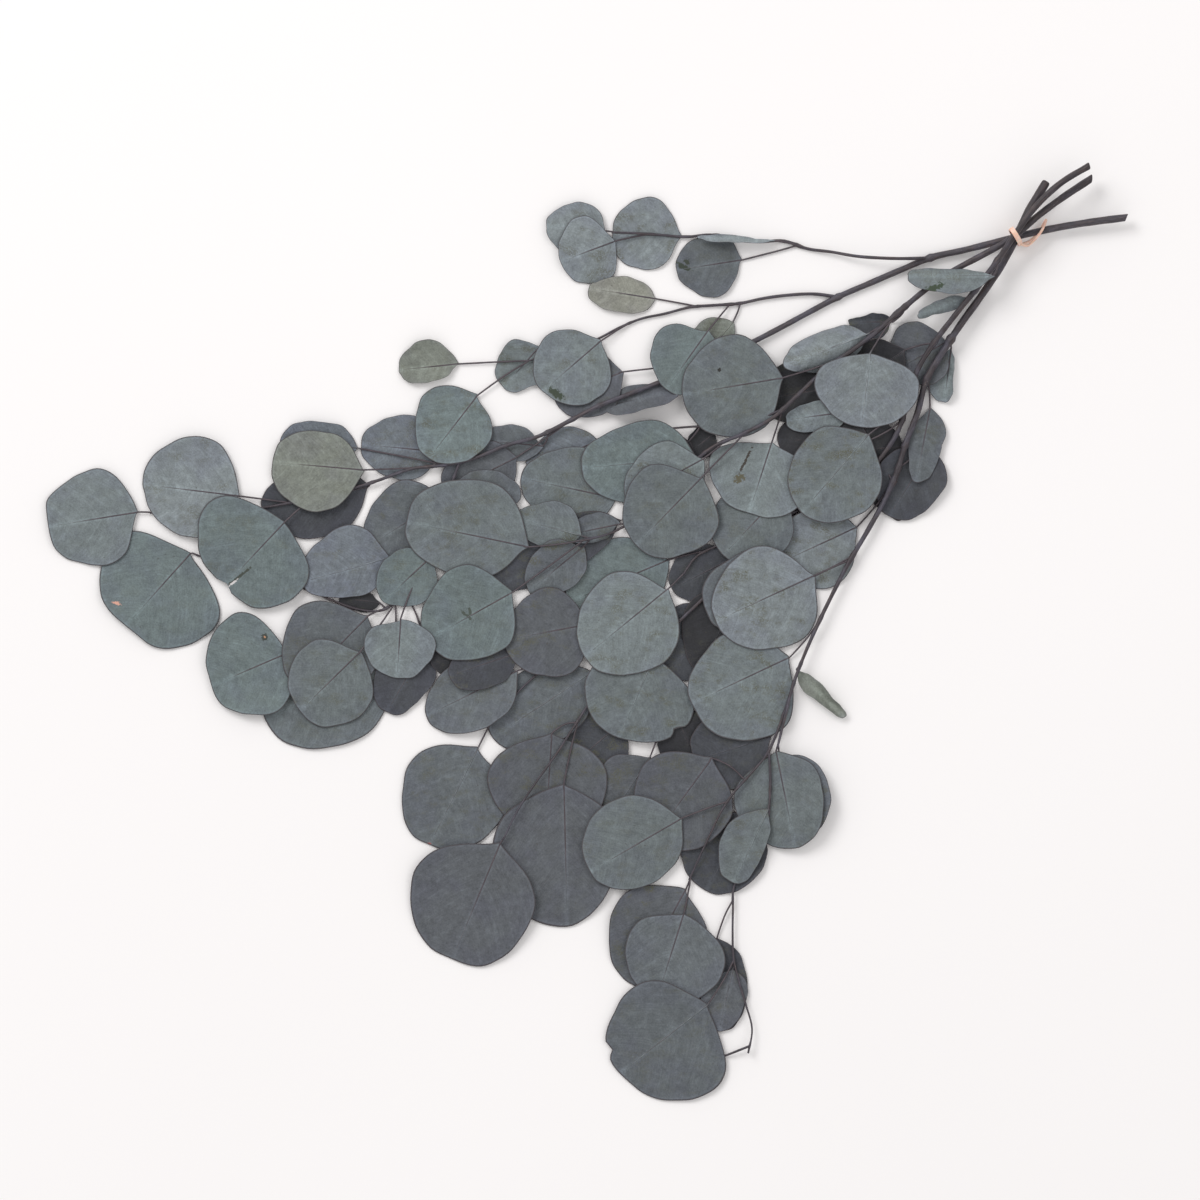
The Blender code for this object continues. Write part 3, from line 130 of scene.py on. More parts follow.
# A leaf is its twig, the place on it where the stalk starts (None is the twig's end), its base and tip, and
# how far it reaches left and right of the line between them. A base or tip above nothing is more pointed than
# round and below it is blunter, and a point is how many millimetres the tip stands out.
LEAVES = [
    # left end of stem A
    ("A", None, (139, 512), (46, 527), 46, 49, dict(tip=-0.3, point=-1.5)),
    ("A", (290, 502), (239, 496), (140, 484), 46, 55, dict(base=-0.15, tip=0.3)),
    ("A5", None, (191, 553), (124, 628), 68, 68, dict(tip=-0.25, point=-2.5)),
    ("A", (312, 498), (286, 521), (222, 589), 60, 68, dict(tip=-0.3, point=-3)),
    ("A", (372, 484), (368, 487), (262, 510), 40, 34),
    ("A", (430, 467), (363, 470), (270, 462), 46, 36),
    ("A", (445, 466), (357, 448), (281, 440), 24, 24),
    ("A", (462, 462), (440, 452), (361, 444), 32, 34),
    ("A2", None, (478, 395), (430, 457), 38, 43),
    ("A", (548, 433), (543, 446), (478, 440), 18, 18),
    ("A", (573, 420), (517, 457), (445, 494), 30, 34),
    ("A5", (455, 478), (450, 490), (522, 492), 20, 26),
    ("A5", (450, 490), (447, 497), (368, 546), 40, 38),
    ("A5", (425, 562), (391, 557), (303, 582), 28, 42),
    ("A5", (432, 545), (432, 556), (384, 601), 27, 30),
    ("A5", (418, 576), (401, 618), (397, 679), 36, 34),
    ("A5", (397, 600), (361, 651), (298, 713), 46, 42),
    ("A5", (385, 607), (368, 616), (296, 690), 44, 54),
    ("A5", (345, 605), (290, 652), (211, 686), 50, 57),
    ("A5", (395, 601), (390, 652), (264, 722), 60, 40),
    ("A5", (352, 607), (288, 664), (212, 686), 40, 38),
    ("A5", (405, 592), (425, 645), (387, 712), 26, 34),
    # twig A1, upper left
    ("A1", (718, 235), (680, 236), (612, 234), 36, 38),
    ("A1", (650, 235), (616, 241), (560, 262), 34, 34),
    ("A1", None, (606, 231), (545, 226), 26, 26),
    ("A1", (797, 247), (742, 260), (677, 270), 32, 32, dict(base=0.35)),
    ("A1", (797, 247), (775, 241), (695, 238), 3.5, 3.5),
    # twig A2
    ("A2", (730, 305), (708, 331), (667, 388), 33, 40),
    ("A2", (740, 303), (733, 322), (694, 368), 19, 26),
    ("A2", (697, 306), (657, 299), (587, 288), 20, 16),
    ("A2", (630, 322), (601, 341), (543, 391), 42, 39),
    ("A", (700, 366), (623, 372), (554, 399), 32, 44),
    ("A2", (552, 354), (541, 345), (503, 388), 24, 26),
    ("A2", None, (458, 364), (398, 370), 16, 27, dict(base=0.4)),
    ("A", (600, 406), (600, 408), (678, 390), 14, 14),
    # stem B
    ("B", (585, 539), (529, 547), (403, 521), 42, 56),
    ("B", None, (513, 592), (427, 640), 46, 50),
    ("B", (590, 537), (582, 536), (516, 518), 22, 26),
    ("B", (590, 537), (584, 546), (528, 592), 24, 26),
    ("B", (628, 525), (620, 524), (562, 536), 12, 16),
    ("B", (745, 433), (702, 477), (636, 545), 50, 48),
    ("B", (725, 443), (703, 459), (628, 500), 36, 36),
    ("B", (705, 452), (697, 458), (582, 468), 44, 42),
    ("B", (645, 512), (620, 499), (521, 478), 38, 42),
    ("B", (783, 411), (772, 442), (748, 515), 53, 53),
    ("B", (838, 360), (783, 378), (682, 395), 52, 50),
    ("B", (895, 316), (868, 334), (785, 366), 20, 20),
    ("B", (905, 306), (893, 322), (850, 322), 16, 8),
    ("B", (900, 312), (870, 353), (861, 427), 54, 52),
    ("B2", None, (597, 441), (530, 470), 26, 28),
    ("B2", (700, 427), (690, 440), (640, 480), 30, 30),
    # stem C
    ("C", (996, 262), (992, 277), (905, 276), 18, 8),
    ("C", (975, 290), (971, 297), (915, 317), 7, 7),
    ("C", (905, 408), (868, 435), (802, 512), 48, 46),
    ("C", (902, 420), (848, 412), (785, 420), 18, 14),
    ("C", (820, 500), (783, 492), (722, 556), 42, 42),
    ("C1", None, (669, 588), (584, 657), 54, 48),
    ("C1", (705, 551), (668, 560), (566, 603), 42, 42),
    ("C", (650, 650), (655, 655), (618, 739), 58, 54),
    ("C2", (600, 643), (590, 624), (504, 640), 46, 42),
    ("C2", (560, 657), (517, 671), (426, 716), 38, 34),
    ("C2", (565, 655), (520, 652), (448, 676), 24, 22),
    ("C2", (625, 640), (592, 672), (492, 738), 40, 40),
    ("C3", None, (650, 757), (612, 815), 34, 34),
    ("C3", (668, 690), (622, 722), (568, 768), 36, 36),
    ("C", (577, 722), (552, 733), (545, 838), 60, 60),
    ("C", (578, 720), (564, 783), (567, 926), 52, 74),
    ("C", None, (500, 844), (451, 962), 59, 68),
    ("C2", None, (478, 748), (429, 846), 53, 55),
    ("C", (760, 545), (729, 560), (673, 588), 32, 30),
    ("C", (705, 597), (722, 612), (668, 672), 38, 38),
    ("C", (740, 565), (742, 590), (700, 668), 40, 40),
    # stem E
    ("E", (893, 482), (857, 527), (775, 565), 43, 38, dict(base=0.35)),
    ("E", (850, 560), (815, 575), (716, 621), 54, 50),
    ("E", (853, 556), (806, 580), (702, 606), 44, 44),
    ("E", (820, 619), (790, 657), (690, 704), 64, 47),
    ("E2", (783, 715), (770, 737), (690, 762), 40, 40),
    ("E", None, (776, 751), (795, 847), 40, 51, dict(base=0.3)),
    ("E", None, (779, 752), (815, 831), 31, 42),
    ("E3", (770, 790), (768, 809), (732, 886), 14, 30),
    ("E3", (768, 812), (749, 817), (706, 890), 38, 55),
    ("E2", (727, 801), (682, 818), (587, 873), 41, 50),
    ("E2", (745, 780), (712, 758), (652, 840), 52, 50),
    ("E2", None, (686, 889), (634, 984), 43, 54),
    ("E2", None, (684, 913), (656, 1001), 56, 46),
    ("E3", (733, 900), (717, 938), (724, 1031), 27, 32),
    ("E3", (733, 950), (733, 968), (719, 1030), 20, 24),
    ("E3", (733, 960), (708, 1004), (619, 1074), 70, 60),
    ("E", (800, 665), (796, 670), (843, 716), 7, 8, dict(base=0, tip=-0.5)),
    ("E", (926, 378), (930, 408), (916, 481), 21, 14),
    ("E", (898, 468), (932, 448), (889, 516), 33, 34),
    ("E", (950, 340), (951, 350), (944, 403), 7, 23),
    ("E", (950, 340), (946, 342), (896, 370), 30, 37),
    ("C", (935, 345), (905, 350), (840, 395), 30, 30),
    ("C", (902, 420), (870, 440), (780, 440), 34, 34),
    ("C", (918, 385), (845, 385), (760, 400), 34, 34),
    ("E", (893, 482), (885, 470), (905, 520), 22, 22),
    ("C3", (664, 705), (674, 712), (700, 768), 28, 28),
    ("B", (640, 498), (622, 520), (492, 590), 20, 30),
    ("A5", (385, 607), (380, 603), (338, 597), 12, 12),
    ("B2", (725, 425), (716, 432), (690, 452), 16, 16),
    ("E", (905, 445), (903, 447), (855, 450), 24, 26),
    ("C2", (540, 668), (502, 655), (430, 662), 20, 20),
]


def place(point):
    """A point of the drawing, in millimetres from the origin, with y upwards."""
    return np.array([(point[0] - PLAN_MIDDLE[0]) * DRAWING_UNIT, (PLAN_MIDDLE[1] - point[1]) * DRAWING_UNIT])


def chance(number, low, high):
    """A repeatable value between low and high for a numbered leaf."""
    share = abs(np.sin(number * 12.9898 + 4.1414) * 43758.5453) % 1.0
    return low + (high - low) * share


def curve_through(points, steps):
    """The smooth curve through points, in so many steps from each to the next."""
    points = np.asarray(points, float)
    padded = np.vstack([2 * points[0] - points[1], points, 2 * points[-1] - points[-2]])
    curve = []
    for before, start, end, after in zip(padded, padded[1:], padded[2:], padded[3:]):
        for t in np.arange(steps) / steps:
            curve.append((2 * start + (end - before) * t + (2 * before - 5 * start + 4 * end - after) * t ** 2
                          + (3 * start - before - 3 * end + after) * t ** 3) / 2)
    return np.array(curve + [points[-1]])


def run_along(path):
    """How far along a path each of its points lies."""
    return np.concatenate([[0], np.cumsum(np.linalg.norm(np.diff(path, axis=0), axis=1))])


def values_at(steps, run, curve):
    """A curve's values where its run has reached each of the steps."""
    return np.column_stack([np.interp(steps, run, column) for column in curve.T])


def even_steps(curve, spacing):
    """Even steps along a curve."""
    run = run_along(curve)
    return values_at(np.linspace(0, run[-1], max(2, int(round(run[-1] / spacing)) + 1)), run, curve)


def sideways_of(route):
    """The level direction across a route at each of its steps."""
    ahead = np.diff(route[:, :2], axis=0)
    ahead /= np.hypot(*ahead.T)[:, None]
    ahead = np.vstack([ahead[:1], ahead, ahead[-1:]])
    middle = ahead[:-1] + ahead[1:]
    middle /= np.hypot(*middle.T)[:, None]
    mitre = 1 / np.clip((middle * ahead[1:]).sum(axis=1), SHARPEST_BEND, 1)
    return np.column_stack([-middle[:, 1], middle[:, 0]]) * mitre[:, None]


def nearest_on_route(route, point):
    """The step of a route and the share of that step nearest to a point in plan."""
    start, end = route[:-1, :2], route[1:, :2]
    along = end - start
    share = np.clip(((point[:2] - start) * along).sum(axis=1) / (along ** 2).sum(axis=1), 0, 1)
    near = start + along * share[:, None]
    step = int(np.argmin(((near - point[:2]) ** 2).sum(axis=1)))
    return step, share[step], near[step]


def between(values, step, share):
    """The value that lies such a share of the way from one step to the next."""
    return values[step] * (1 - share) + values[step + 1] * share


def blade_plan(leaf, angles, reaches, ripple=0.0, pinch=0.0):
    """Points of a leaf in plan: angle 0 is the tip, half a turn the base, reach 1 the edge."""
    angles, reaches = np.asarray(angles, float), np.asarray(reaches, float)
    half_width = np.where(np.sin(angles) > 0, leaf["left"], leaf["right"])
    forward = leaf["length"] * (0.5 + 0.5 * np.cos(angles))
    forward = forward + leaf["point"] * np.maximum(0, np.cos(angles)) ** POINT_SHARPNESS
    base_share = (1 - np.cos(angles)) / 2
    shape = leaf["base_shape"] * base_share + leaf["tip_shape"] * (1 - base_share)
    shape = shape + pinch * base_share ** CORNER_SHARPNESS
    sideways = half_width * np.sin(angles) * np.maximum(np.abs(np.sin(angles)), 1e-9) ** shape
    sideways *= 1 - WIDEST * np.cos(angles)
    heart = HEART * leaf["length"]
    forward = heart + (forward - heart) * reaches + ripple * np.cos(angles)
    sideways = sideways * reaches + ripple * np.sin(angles)
    return leaf["base"] + forward[..., None] * leaf["ahead"] + sideways[..., None] * leaf["leftward"]


twigs = {}
for name, (parent, first_width, last_width, points) in TWIGS.items():
    curve = curve_through([place(point) for point in points], CURVE_STEPS)
    route = even_steps(curve, TWIG_STEP if parent else STEM_STEP)
    if parent:
        route[0] = nearest_on_route(twigs[parent]["route"], route[0])[2]
    radius = np.linspace(first_width, last_width, len(route)) * DRAWING_UNIT / 2
    twigs[name] = dict(name=name, parent=parent, route=route, radius=radius)

solid_angles = np.array([2 * np.pi * i / RIM_POINTS for i in range(RIM_POINTS)]
                        + [2 * np.pi * i / INNER_POINTS for i in range(INNER_POINTS)] + [0.0])
solid_reaches = np.array([1.0] * RIM_POINTS + [INNER_REACH] * INNER_POINTS + [0.0])
leaves = []
for number, (twig_name, joint, base, tip, left, right, *options) in enumerate(LEAVES):
    options = options[0] if options else {}
    leaf = dict(number=number, twig=twigs[twig_name], stem=twig_name[0], joint=joint, base=place(base),
                left=left * DRAWING_UNIT, right=right * DRAWING_UNIT,
                point=options.get("point", chance(number, *OWN_POINTS)),
                base_shape=options.get("base", BASE_SHAPE), tip_shape=options.get("tip", TIP_SHAPE))
    ahead = place(tip) - leaf["base"]
    leaf["length"] = np.hypot(*ahead)
    leaf["narrow"] = leaf["left"] + leaf["right"] < NARROW * leaf["length"]
    leaf["ahead"] = ahead / leaf["length"]
    leaf["leftward"] = np.array([-leaf["ahead"][1], leaf["ahead"][0]])
    leaf["corners"] = blade_plan(leaf, solid_angles, solid_reaches)
    leaves.append(leaf)

outline = [leaf["corners"] for leaf in leaves]
for twig in twigs.values():
    edge = sideways_of(twig["route"]) * twig["radius"][:, None]
    outline += [twig["route"] + edge, twig["route"] - edge]
outline = np.vstack(outline)
middle = (outline.min(axis=0) + outline.max(axis=0)) / 2


def packed_corners(node):
    """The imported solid's corners: a tree to search in plan, and their heights, in millimetres."""
    corners = np.array([v.co for v in frame["nodes"][node].data.vertices]) / METRE
    corners = np.unique(np.round(corners, 3), axis=0)
    tree = KDTree(len(corners))
    for number, (x, y, _) in enumerate(corners):
        tree.insert((x + middle[0], y + middle[1], 0), number)
    tree.balance()
    return tree, corners[:, 2]


def height_between(solid, spot, thickness):
    """The middle of the pair of packed corners above each other at a spot, if they are so far apart."""
    tree, levels = solid
    found = sorted(levels[number] for _, number, _ in tree.find_range((spot[0], spot[1], 0), SAME_SPOT))
    if not found or not thickness[0] <= found[-1] - found[0] <= thickness[1]:
        return None, 0.0
    return (found[0] + found[-1]) / 2, (found[-1] - found[0]) / 2


solids = {stem: packed_corners(node) for stem, node in NODE_OF_STEM.items()}
for name, twig in twigs.items():
    side = sideways_of(twig["route"])
    turn = np.pi / 2 if twig["parent"] is None else np.pi / TWIG_SIDES
    levels = []
    for point, across, radius in zip(twig["route"], side, twig["radius"]):
        pair = 2 * radius * np.sin(turn)
        spots = [point + across * radius * np.cos(turn), point - across * radius * np.cos(turn)]
        thickness = [share * pair for share in TWIG_PAIR]
        found = [height_between(solids[name[0]], spot, thickness)[0] for spot in spots]
        found = [height for height in found if height is not None]
        levels.append(found[0] if found else np.nan)
    if twig["parent"]:
        parent = twigs[twig["parent"]]
        step, share, _ = nearest_on_route(parent["route"], twig["route"][0])
        levels[0] = between(parent["level"], step, share)
    levels = np.array(levels)
    known = ~np.isnan(levels)
    steps = np.arange(len(levels))
    twig["level"] = np.interp(steps, steps[known], levels[known])

unit = np.column_stack([solid_reaches * np.cos(solid_angles), solid_reaches * np.sin(solid_angles)])
bowl = np.column_stack([np.ones(len(unit)), unit, unit ** 2, unit[:, 0] * unit[:, 1]])
for leaf in leaves:
    found = [height_between(solids[leaf["stem"]], spot, BLADE_PAIR) for spot in leaf["corners"]]
    known = np.array([height is not None for height, _ in found])
    level = np.array([height if height is not None else 0.0 for height, _ in found])
    leaf["half"] = np.median([thick for height, thick in found if height is not None])
    bowl_fit = np.linalg.lstsq(bowl[known], level[known], rcond=None)[0]
    leaf["level"] = np.where(known, level, bowl @ bowl_fit)


# The bark. Each stem is tough dark brown-purple wood about 5 mm thick with a blue-grey bloom, cut at the tied
# end. Thin side twigs grow from it, and it swells a little where a stalk leaves it. The leaf stalks are thin
# and dark, and each runs on through its blade as the midrib, paler towards the tip.
STATION_STEP = 2.5        # millimetres between the rings of a twig's tube
STALK_STATION_STEP = 1.6
STEM_CORNERS = 16
TWIG_CORNERS = 10
STALK_CORNERS = 8
COLLAR_SWELL = 0.35       # how much a twig swells at a stalk, as a share of its radius
COLLAR_REACH = 1.8        # millimetres along the twig that the swelling takes
MOST_SWELL = 1.3          # the most that swellings add up to, in collars
UNEVENNESS = 0.05
UNEVEN_WAVES = (7.0, 3.1)  # millimetres along the twig for each radian of its two waves
# How much each cut end leans, as a slope, and how many millimetres of its edge are rounded
CUT_ENDS = {"A": (0.55, 0.3), "B": (0.7, 0.3), "C": (0.25, 0.8), "E": (0.0, 1.4)}
LEAN_REACH = 6.0          # millimetres along the stem over which the lean fades
EDGE_RINGS = (0.0, 0.1, 0.4, 1.0)   # a rounded edge: how far in its rings lie,
EDGE_DROPS = (1.0, 0.56, 0.2, 0.0)  # and how much lower they are, as shares of the rounding
STALK_RADIUS = 0.52
MIDRIB_RADIUS = 0.42
MIDRIB_TIP_RADIUS = 0.2
MIDRIB_END = 0.8          # how far towards the tip the midrib stands out
MIDRIB_LIFT = 0.12        # millimetres that it stands higher than the blade's middle layer
MIDRIB_START = 0.08       # its first place past the blade's heart
BASE_STEPS = 12           # places along it from the blade's base to its heart,
TIP_STEPS = 10            # and on towards the tip
LONG_STALK = 7.0          # a stalk longer than this many millimetres is bowed,
STALK_BOW = 0.12          # by this share of its length
MOST_BOW = 2.0            # and no more millimetres than this
NO_STALK = 1.0            # a blade nearer to its twig than this has no stalk
SMOOTH_STEPS = 8          # steps of a fine curve from each place to the next,
STALK_SMOOTH_STEPS = 4    # and of a stalk's
# Places along a stalk and its midrib, from 0 at the twig over 1 at the blade's base to 2 at the end
RADIUS_PLACES = (0, 0.9, 1.1, 2)
TINT_PLACES = (0, 0.95, 1.1, 1.45, 1.9)
BARK_COLOURS = {"A": (70, 66, 72), "B": (54, 48, 52), "C": (52, 46, 50), "E": (54, 48, 52)}
TWIG_COLOUR = (66, 60, 66)
STALK_COLOUR = (78, 70, 76)
MIDRIB_COLOUR = (82, 74, 80)
MIDRIB_PALENESS = 1.3     # where a midrib is pale and at its tip, it is so much lighter than its leaf
DARK_MIDRIBS = 0.8        # the share of the midribs that are dark
STEM_BLOOM = 0.25         # how much of the bloom a stem's cut end has left, where it was handled,
BLOOM_REACH = 0.25        # and the share of the stem on which that grows to all of it
TWIG_BLOOM = 0.6
STALK_BLOOM = 0.15
CUT_WOOD_BLOOM = 0.2
BLOOM_COLOUR = (98, 98, 114)
CUT_WOOD_COLOUR = (92, 80, 66)
# lighter brown streaks on the bark: partly its own brown and partly painted sheen
BROWN_SHEEN_COLOUR = (88, 74, 72)
PORE_COLOUR = (150, 146, 150)
# Leaf colours as they look on a screen, and which leaves have another than the usual one. The darkest tint is
# painted deep shadow on the low leaves in the gaps, and the next darkest is partly the leaves' own darker tone
# and partly painted shade where they lie under others.
TINTS = {
    "usual": (106, 114, 116), "light": (118, 127, 129), "greenish": (108, 120, 121), "pale": (128, 136, 139),
    "slate": (98, 104, 108), "purple grey": (91, 95, 100), "bluish": (109, 116, 123), "dark and shaded": (68, 71, 77),
    "deep shade": (42, 43, 47), "olive": (125, 130, 122), "pale olive": (141, 142, 133),
}
TINTED_LEAVES = {
    "light": (0, 15, 30, 32, 41, 44, 54, 56, 75, 91, 51),
    "greenish": (3, 8, 14, 18, 27, 42, 57, 36, 2),
    "pale": (1, 22, 23, 24, 46, 48, 72, 73, 26),
    "slate": (78, 11, 12, 25, 38, 39, 60, 62, 68, 74, 84, 87, 89, 9, 17),
    "purple grey": (59, 63, 65, 66, 67, 82, 83, 86, 10, 31, 34, 92),
    "bluish": (6, 7, 49, 13),
    # partly a darker leaf tone, partly painted shade on leaves lying under others
    "dark and shaded": (4, 21, 47, 61, 64, 69, 70, 76, 80, 85, 90, 98),
    # painted deep shadow: these low leaves in the gaps are near black
    "deep shade": (71, 93, 94, 95, 96, 50, 97, 99, 100, 101, 102),
    "olive": (5, 28, 33, 88),
    "pale olive": (29,),
}
tint_of_leaf = {number: tint for tint, numbers in TINTED_LEAVES.items() for number in numbers}


def screen(colour):
    """A colour given as it looks on a screen, from 0 to 255, as the light it sends back."""
    share = np.asarray(colour, float) / 255
    return np.where(share <= 0.04045, share / 12.92, ((share + 0.055) / 1.055) ** 2.4)


def leaf_colour(leaf):
    return screen(TINTS[tint_of_leaf.get(leaf["number"], "usual")])


def surface_weights(angles, reaches):
    """How a blade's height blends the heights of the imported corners: round both rings, then outwards."""
    def round_ring(count):
        spot = (np.asarray(angles) / (2 * np.pi) * count) % count
        first = np.floor(spot).astype(int)
        t = spot - first
        weights = np.zeros((len(spot), count))
        parts = (-t + 2 * t ** 2 - t ** 3, 2 - 5 * t ** 2 + 3 * t ** 3,
                 t + 4 * t ** 2 - 3 * t ** 3, t ** 3 - t ** 2)
        for offset, part in zip((-1, 0, 1, 2), parts):
            np.add.at(weights, (np.arange(len(spot)), (first + offset) % count), part / 2)
        return weights
    r, ring = np.asarray(reaches, float), INNER_REACH
    rim_share = r * (r - ring) / (1 - ring)
    ring_share = r * (r - 1) / (ring * (ring - 1))
    heart_share = (r - ring) * (r - 1) / ring
    return np.hstack([round_ring(RIM_POINTS) * rim_share[:, None],
                      round_ring(INNER_POINTS) * ring_share[:, None], heart_share[:, None]])


def tube(shape, path, radii, corners, tints, slant=None):
    """A closed tube along a path in millimetres: a grid rolled up ring by ring and welded along its seam."""
    stations = len(path)
    ahead = np.gradient(path, axis=0)
    ahead /= np.linalg.norm(ahead, axis=1)[:, None]
    level = np.column_stack([-ahead[:, 1], ahead[:, 0], np.zeros(stations)])
    level /= np.linalg.norm(level, axis=1)[:, None]
    over = np.cross(ahead, level)
    run = run_along(path)
    tint_layer = shape.verts.layers.float_color["tint"]
    place_layer = shape.verts.layers.float_vector["place"]
    grid = bmesh.ops.create_grid(shape, x_segments=stations - 1, y_segments=corners, size=1.0)["verts"]
    rings = [[None] * (corners + 1) for _ in range(stations)]
    for vert in grid:
        station = round((vert.co.x + 1) / 2 * (stations - 1))
        corner = round((vert.co.y + 1) / 2 * corners)
        rings[station][corner] = vert
        turn = 2 * np.pi * corner / corners
        across, up = radii[station] * np.cos(turn), radii[station] * np.sin(turn)
        spot = path[station] + level[station] * across + over[station] * up - [*middle, 0]
        if slant:
            spot += ahead[station] * across * slant * max(0, 1 - run[station] / LEAN_REACH)
        vert.co = spot * METRE
        vert[tint_layer] = tints[station]
        vert[place_layer] = (run[station], across, up)
    bmesh.ops.weld_verts(shape, targetmap={ring[-1]: ring[0] for ring in rings})
    shape.faces.new(rings[0][:corners])
    shape.faces.new(rings[-1][:corners])
    if slant is not None:
        for vert in rings[0][:corners]:
            vert[tint_layer] = (*screen(CUT_WOOD_COLOUR), CUT_WOOD_BLOOM)


def swollen(twig, path, radii):
    """A twig's radii with a collar where each stalk or side twig leaves it, and slightly uneven."""
    run = run_along(path)
    starts = [place(leaf["joint"]) for leaf in leaves if leaf["twig"] is twig and leaf["joint"] is not None]
    starts += [other["route"][0] for other in twigs.values() if other["parent"] == twig["name"]]
    swell = np.ones(len(path))
    for start in starts:
        step, share, _ = nearest_on_route(path, start)
        distance = run - (run[step] + (run[step + 1] - run[step]) * share)
        swell += COLLAR_SWELL * np.exp(-(distance / COLLAR_REACH) ** 2)
    phase = len(twig["name"]) + len(path)
    slow, quick = UNEVEN_WAVES
    swell += UNEVENNESS * np.sin(run / slow + phase) * np.sin(run / quick + 2 * phase)
    return radii * np.minimum(swell, 1 + MOST_SWELL * COLLAR_SWELL)


def stalk_path(leaf):
    """A leaf's stalk and midrib: points along their middle, and how far along each lies, from 0 to 2."""
    route = leaf["twig"]["path"]
    if leaf["joint"] is None:
        start = route[-2]
    else:
        step, share, _ = nearest_on_route(route, place(leaf["joint"]))
        start = between(route, step, share)
    outwards = np.linspace(MIDRIB_START, MIDRIB_END, TIP_STEPS)
    reaches = np.concatenate([np.linspace(1, 0, BASE_STEPS), outwards])
    angles = np.concatenate([np.full(BASE_STEPS, np.pi), np.zeros(TIP_STEPS)])
    lift = -MIDRIB_LIFT if leaf["narrow"] else MIDRIB_LIFT
    levels = surface_weights(angles, reaches) @ leaf["level"] + lift
    spots = np.column_stack([blade_plan(leaf, angles, reaches), levels])
    distance = np.linalg.norm(spots[0] - start)
    points, shares = [start], [0.0]
    if distance > LONG_STALK:
        bend = (start + spots[0]) / 2
        bend[:2] -= leaf["ahead"] * min(distance * STALK_BOW, MOST_BOW)
        points.append(bend)
        shares.append(0.5)
    if distance < NO_STALK:
        spots = spots[1:]
    points += list(spots)
    shares += list(np.linspace(1, 2, len(spots)))
    curve = curve_through(np.column_stack([points, shares]), STALK_SMOOTH_STEPS)
    run = run_along(curve[:, :3])
    curve = values_at(np.linspace(0, run[-1], int(run[-1] / STALK_STATION_STEP) + 2), run, curve)
    return curve[:, :3], curve[:, 3]


for twig in twigs.values():
    curve = curve_through(np.column_stack([twig["route"], twig["level"]]), SMOOTH_STEPS)
    twig["path"] = even_steps(curve, STATION_STEP)
    twig["fine_radius"] = np.linspace(twig["radius"][0], twig["radius"][-1], len(twig["path"]))


def closed_mesh(shape, name):
    """A finished shape's mesh, with its faces turned outwards and smooth."""
    bmesh.ops.recalc_face_normals(shape, faces=shape.faces[:])
    for face in shape.faces:
        face.smooth = True
    mesh = bpy.data.meshes.new(name)
    shape.to_mesh(mesh)
    shape.free()
    return mesh


def bark_mesh(stem):
    """All woody parts of one stem in one mesh: the stem, its twigs, the leaf stalks and the midribs."""
    shape = bmesh.new()
    shape.verts.layers.float_color.new("tint")
    shape.verts.layers.float_vector.new("place")
    for twig in twigs.values():
        if twig["name"][0] != stem:
            continue
        path, radii = twig["path"], swollen(twig, twig["path"], twig["fine_radius"])
        grown = twig["parent"] is None
        colour = screen(BARK_COLOURS[stem] if grown else TWIG_COLOUR)
        thin = screen(TWIG_COLOUR)
        shares = np.linspace(0, 1, len(path))
        bloom = np.full(len(path), TWIG_BLOOM)
        if grown:
            bloom = STEM_BLOOM + (1 - STEM_BLOOM) * np.minimum(1, shares / BLOOM_REACH)
        tints = [(*(colour * (1 - share) + thin * share), amount) for share, amount in zip(shares, bloom)]
        slant = None
        if grown:
            slant, rounding = CUT_ENDS[stem]
            inwards = (path[1] - path[0]) / np.linalg.norm(path[1] - path[0])
            rings = [path[0] + inwards * rounding * share for share in EDGE_RINGS]
            path = np.vstack([rings, path[1:]])
            radii = np.concatenate([radii[0] - rounding * np.array(EDGE_DROPS), radii[1:]])
            tints = tints[:1] * (len(rings) - 1) + tints
        tube(shape, path, radii, STEM_CORNERS if grown else TWIG_CORNERS, tints, slant)
    for leaf in leaves:
        if leaf["stem"] != stem:
            continue
        path, along = stalk_path(leaf)
        rib_radius = MIDRIB_TIP_RADIUS if leaf["narrow"] else MIDRIB_RADIUS
        radii = np.interp(along, RADIUS_PLACES, [STALK_RADIUS, STALK_RADIUS, rib_radius, MIDRIB_TIP_RADIUS])
        pale = chance(leaf["number"] + 0.2, 0, 1) > DARK_MIDRIBS
        own = leaf_colour(leaf) * MIDRIB_PALENESS
        rib = own if pale else np.minimum(screen(MIDRIB_COLOUR), own)
        channels = list(zip(screen(STALK_COLOUR), rib, own))
        tints = [(*[np.interp(share, TINT_PLACES, [a, a, b, b, c]) for a, b, c in channels], STALK_BLOOM)
                 for share in along]
        tube(shape, path, radii, STALK_CORNERS, tints)
    return closed_mesh(shape, NODE_OF_STEM[stem] + "_wood")


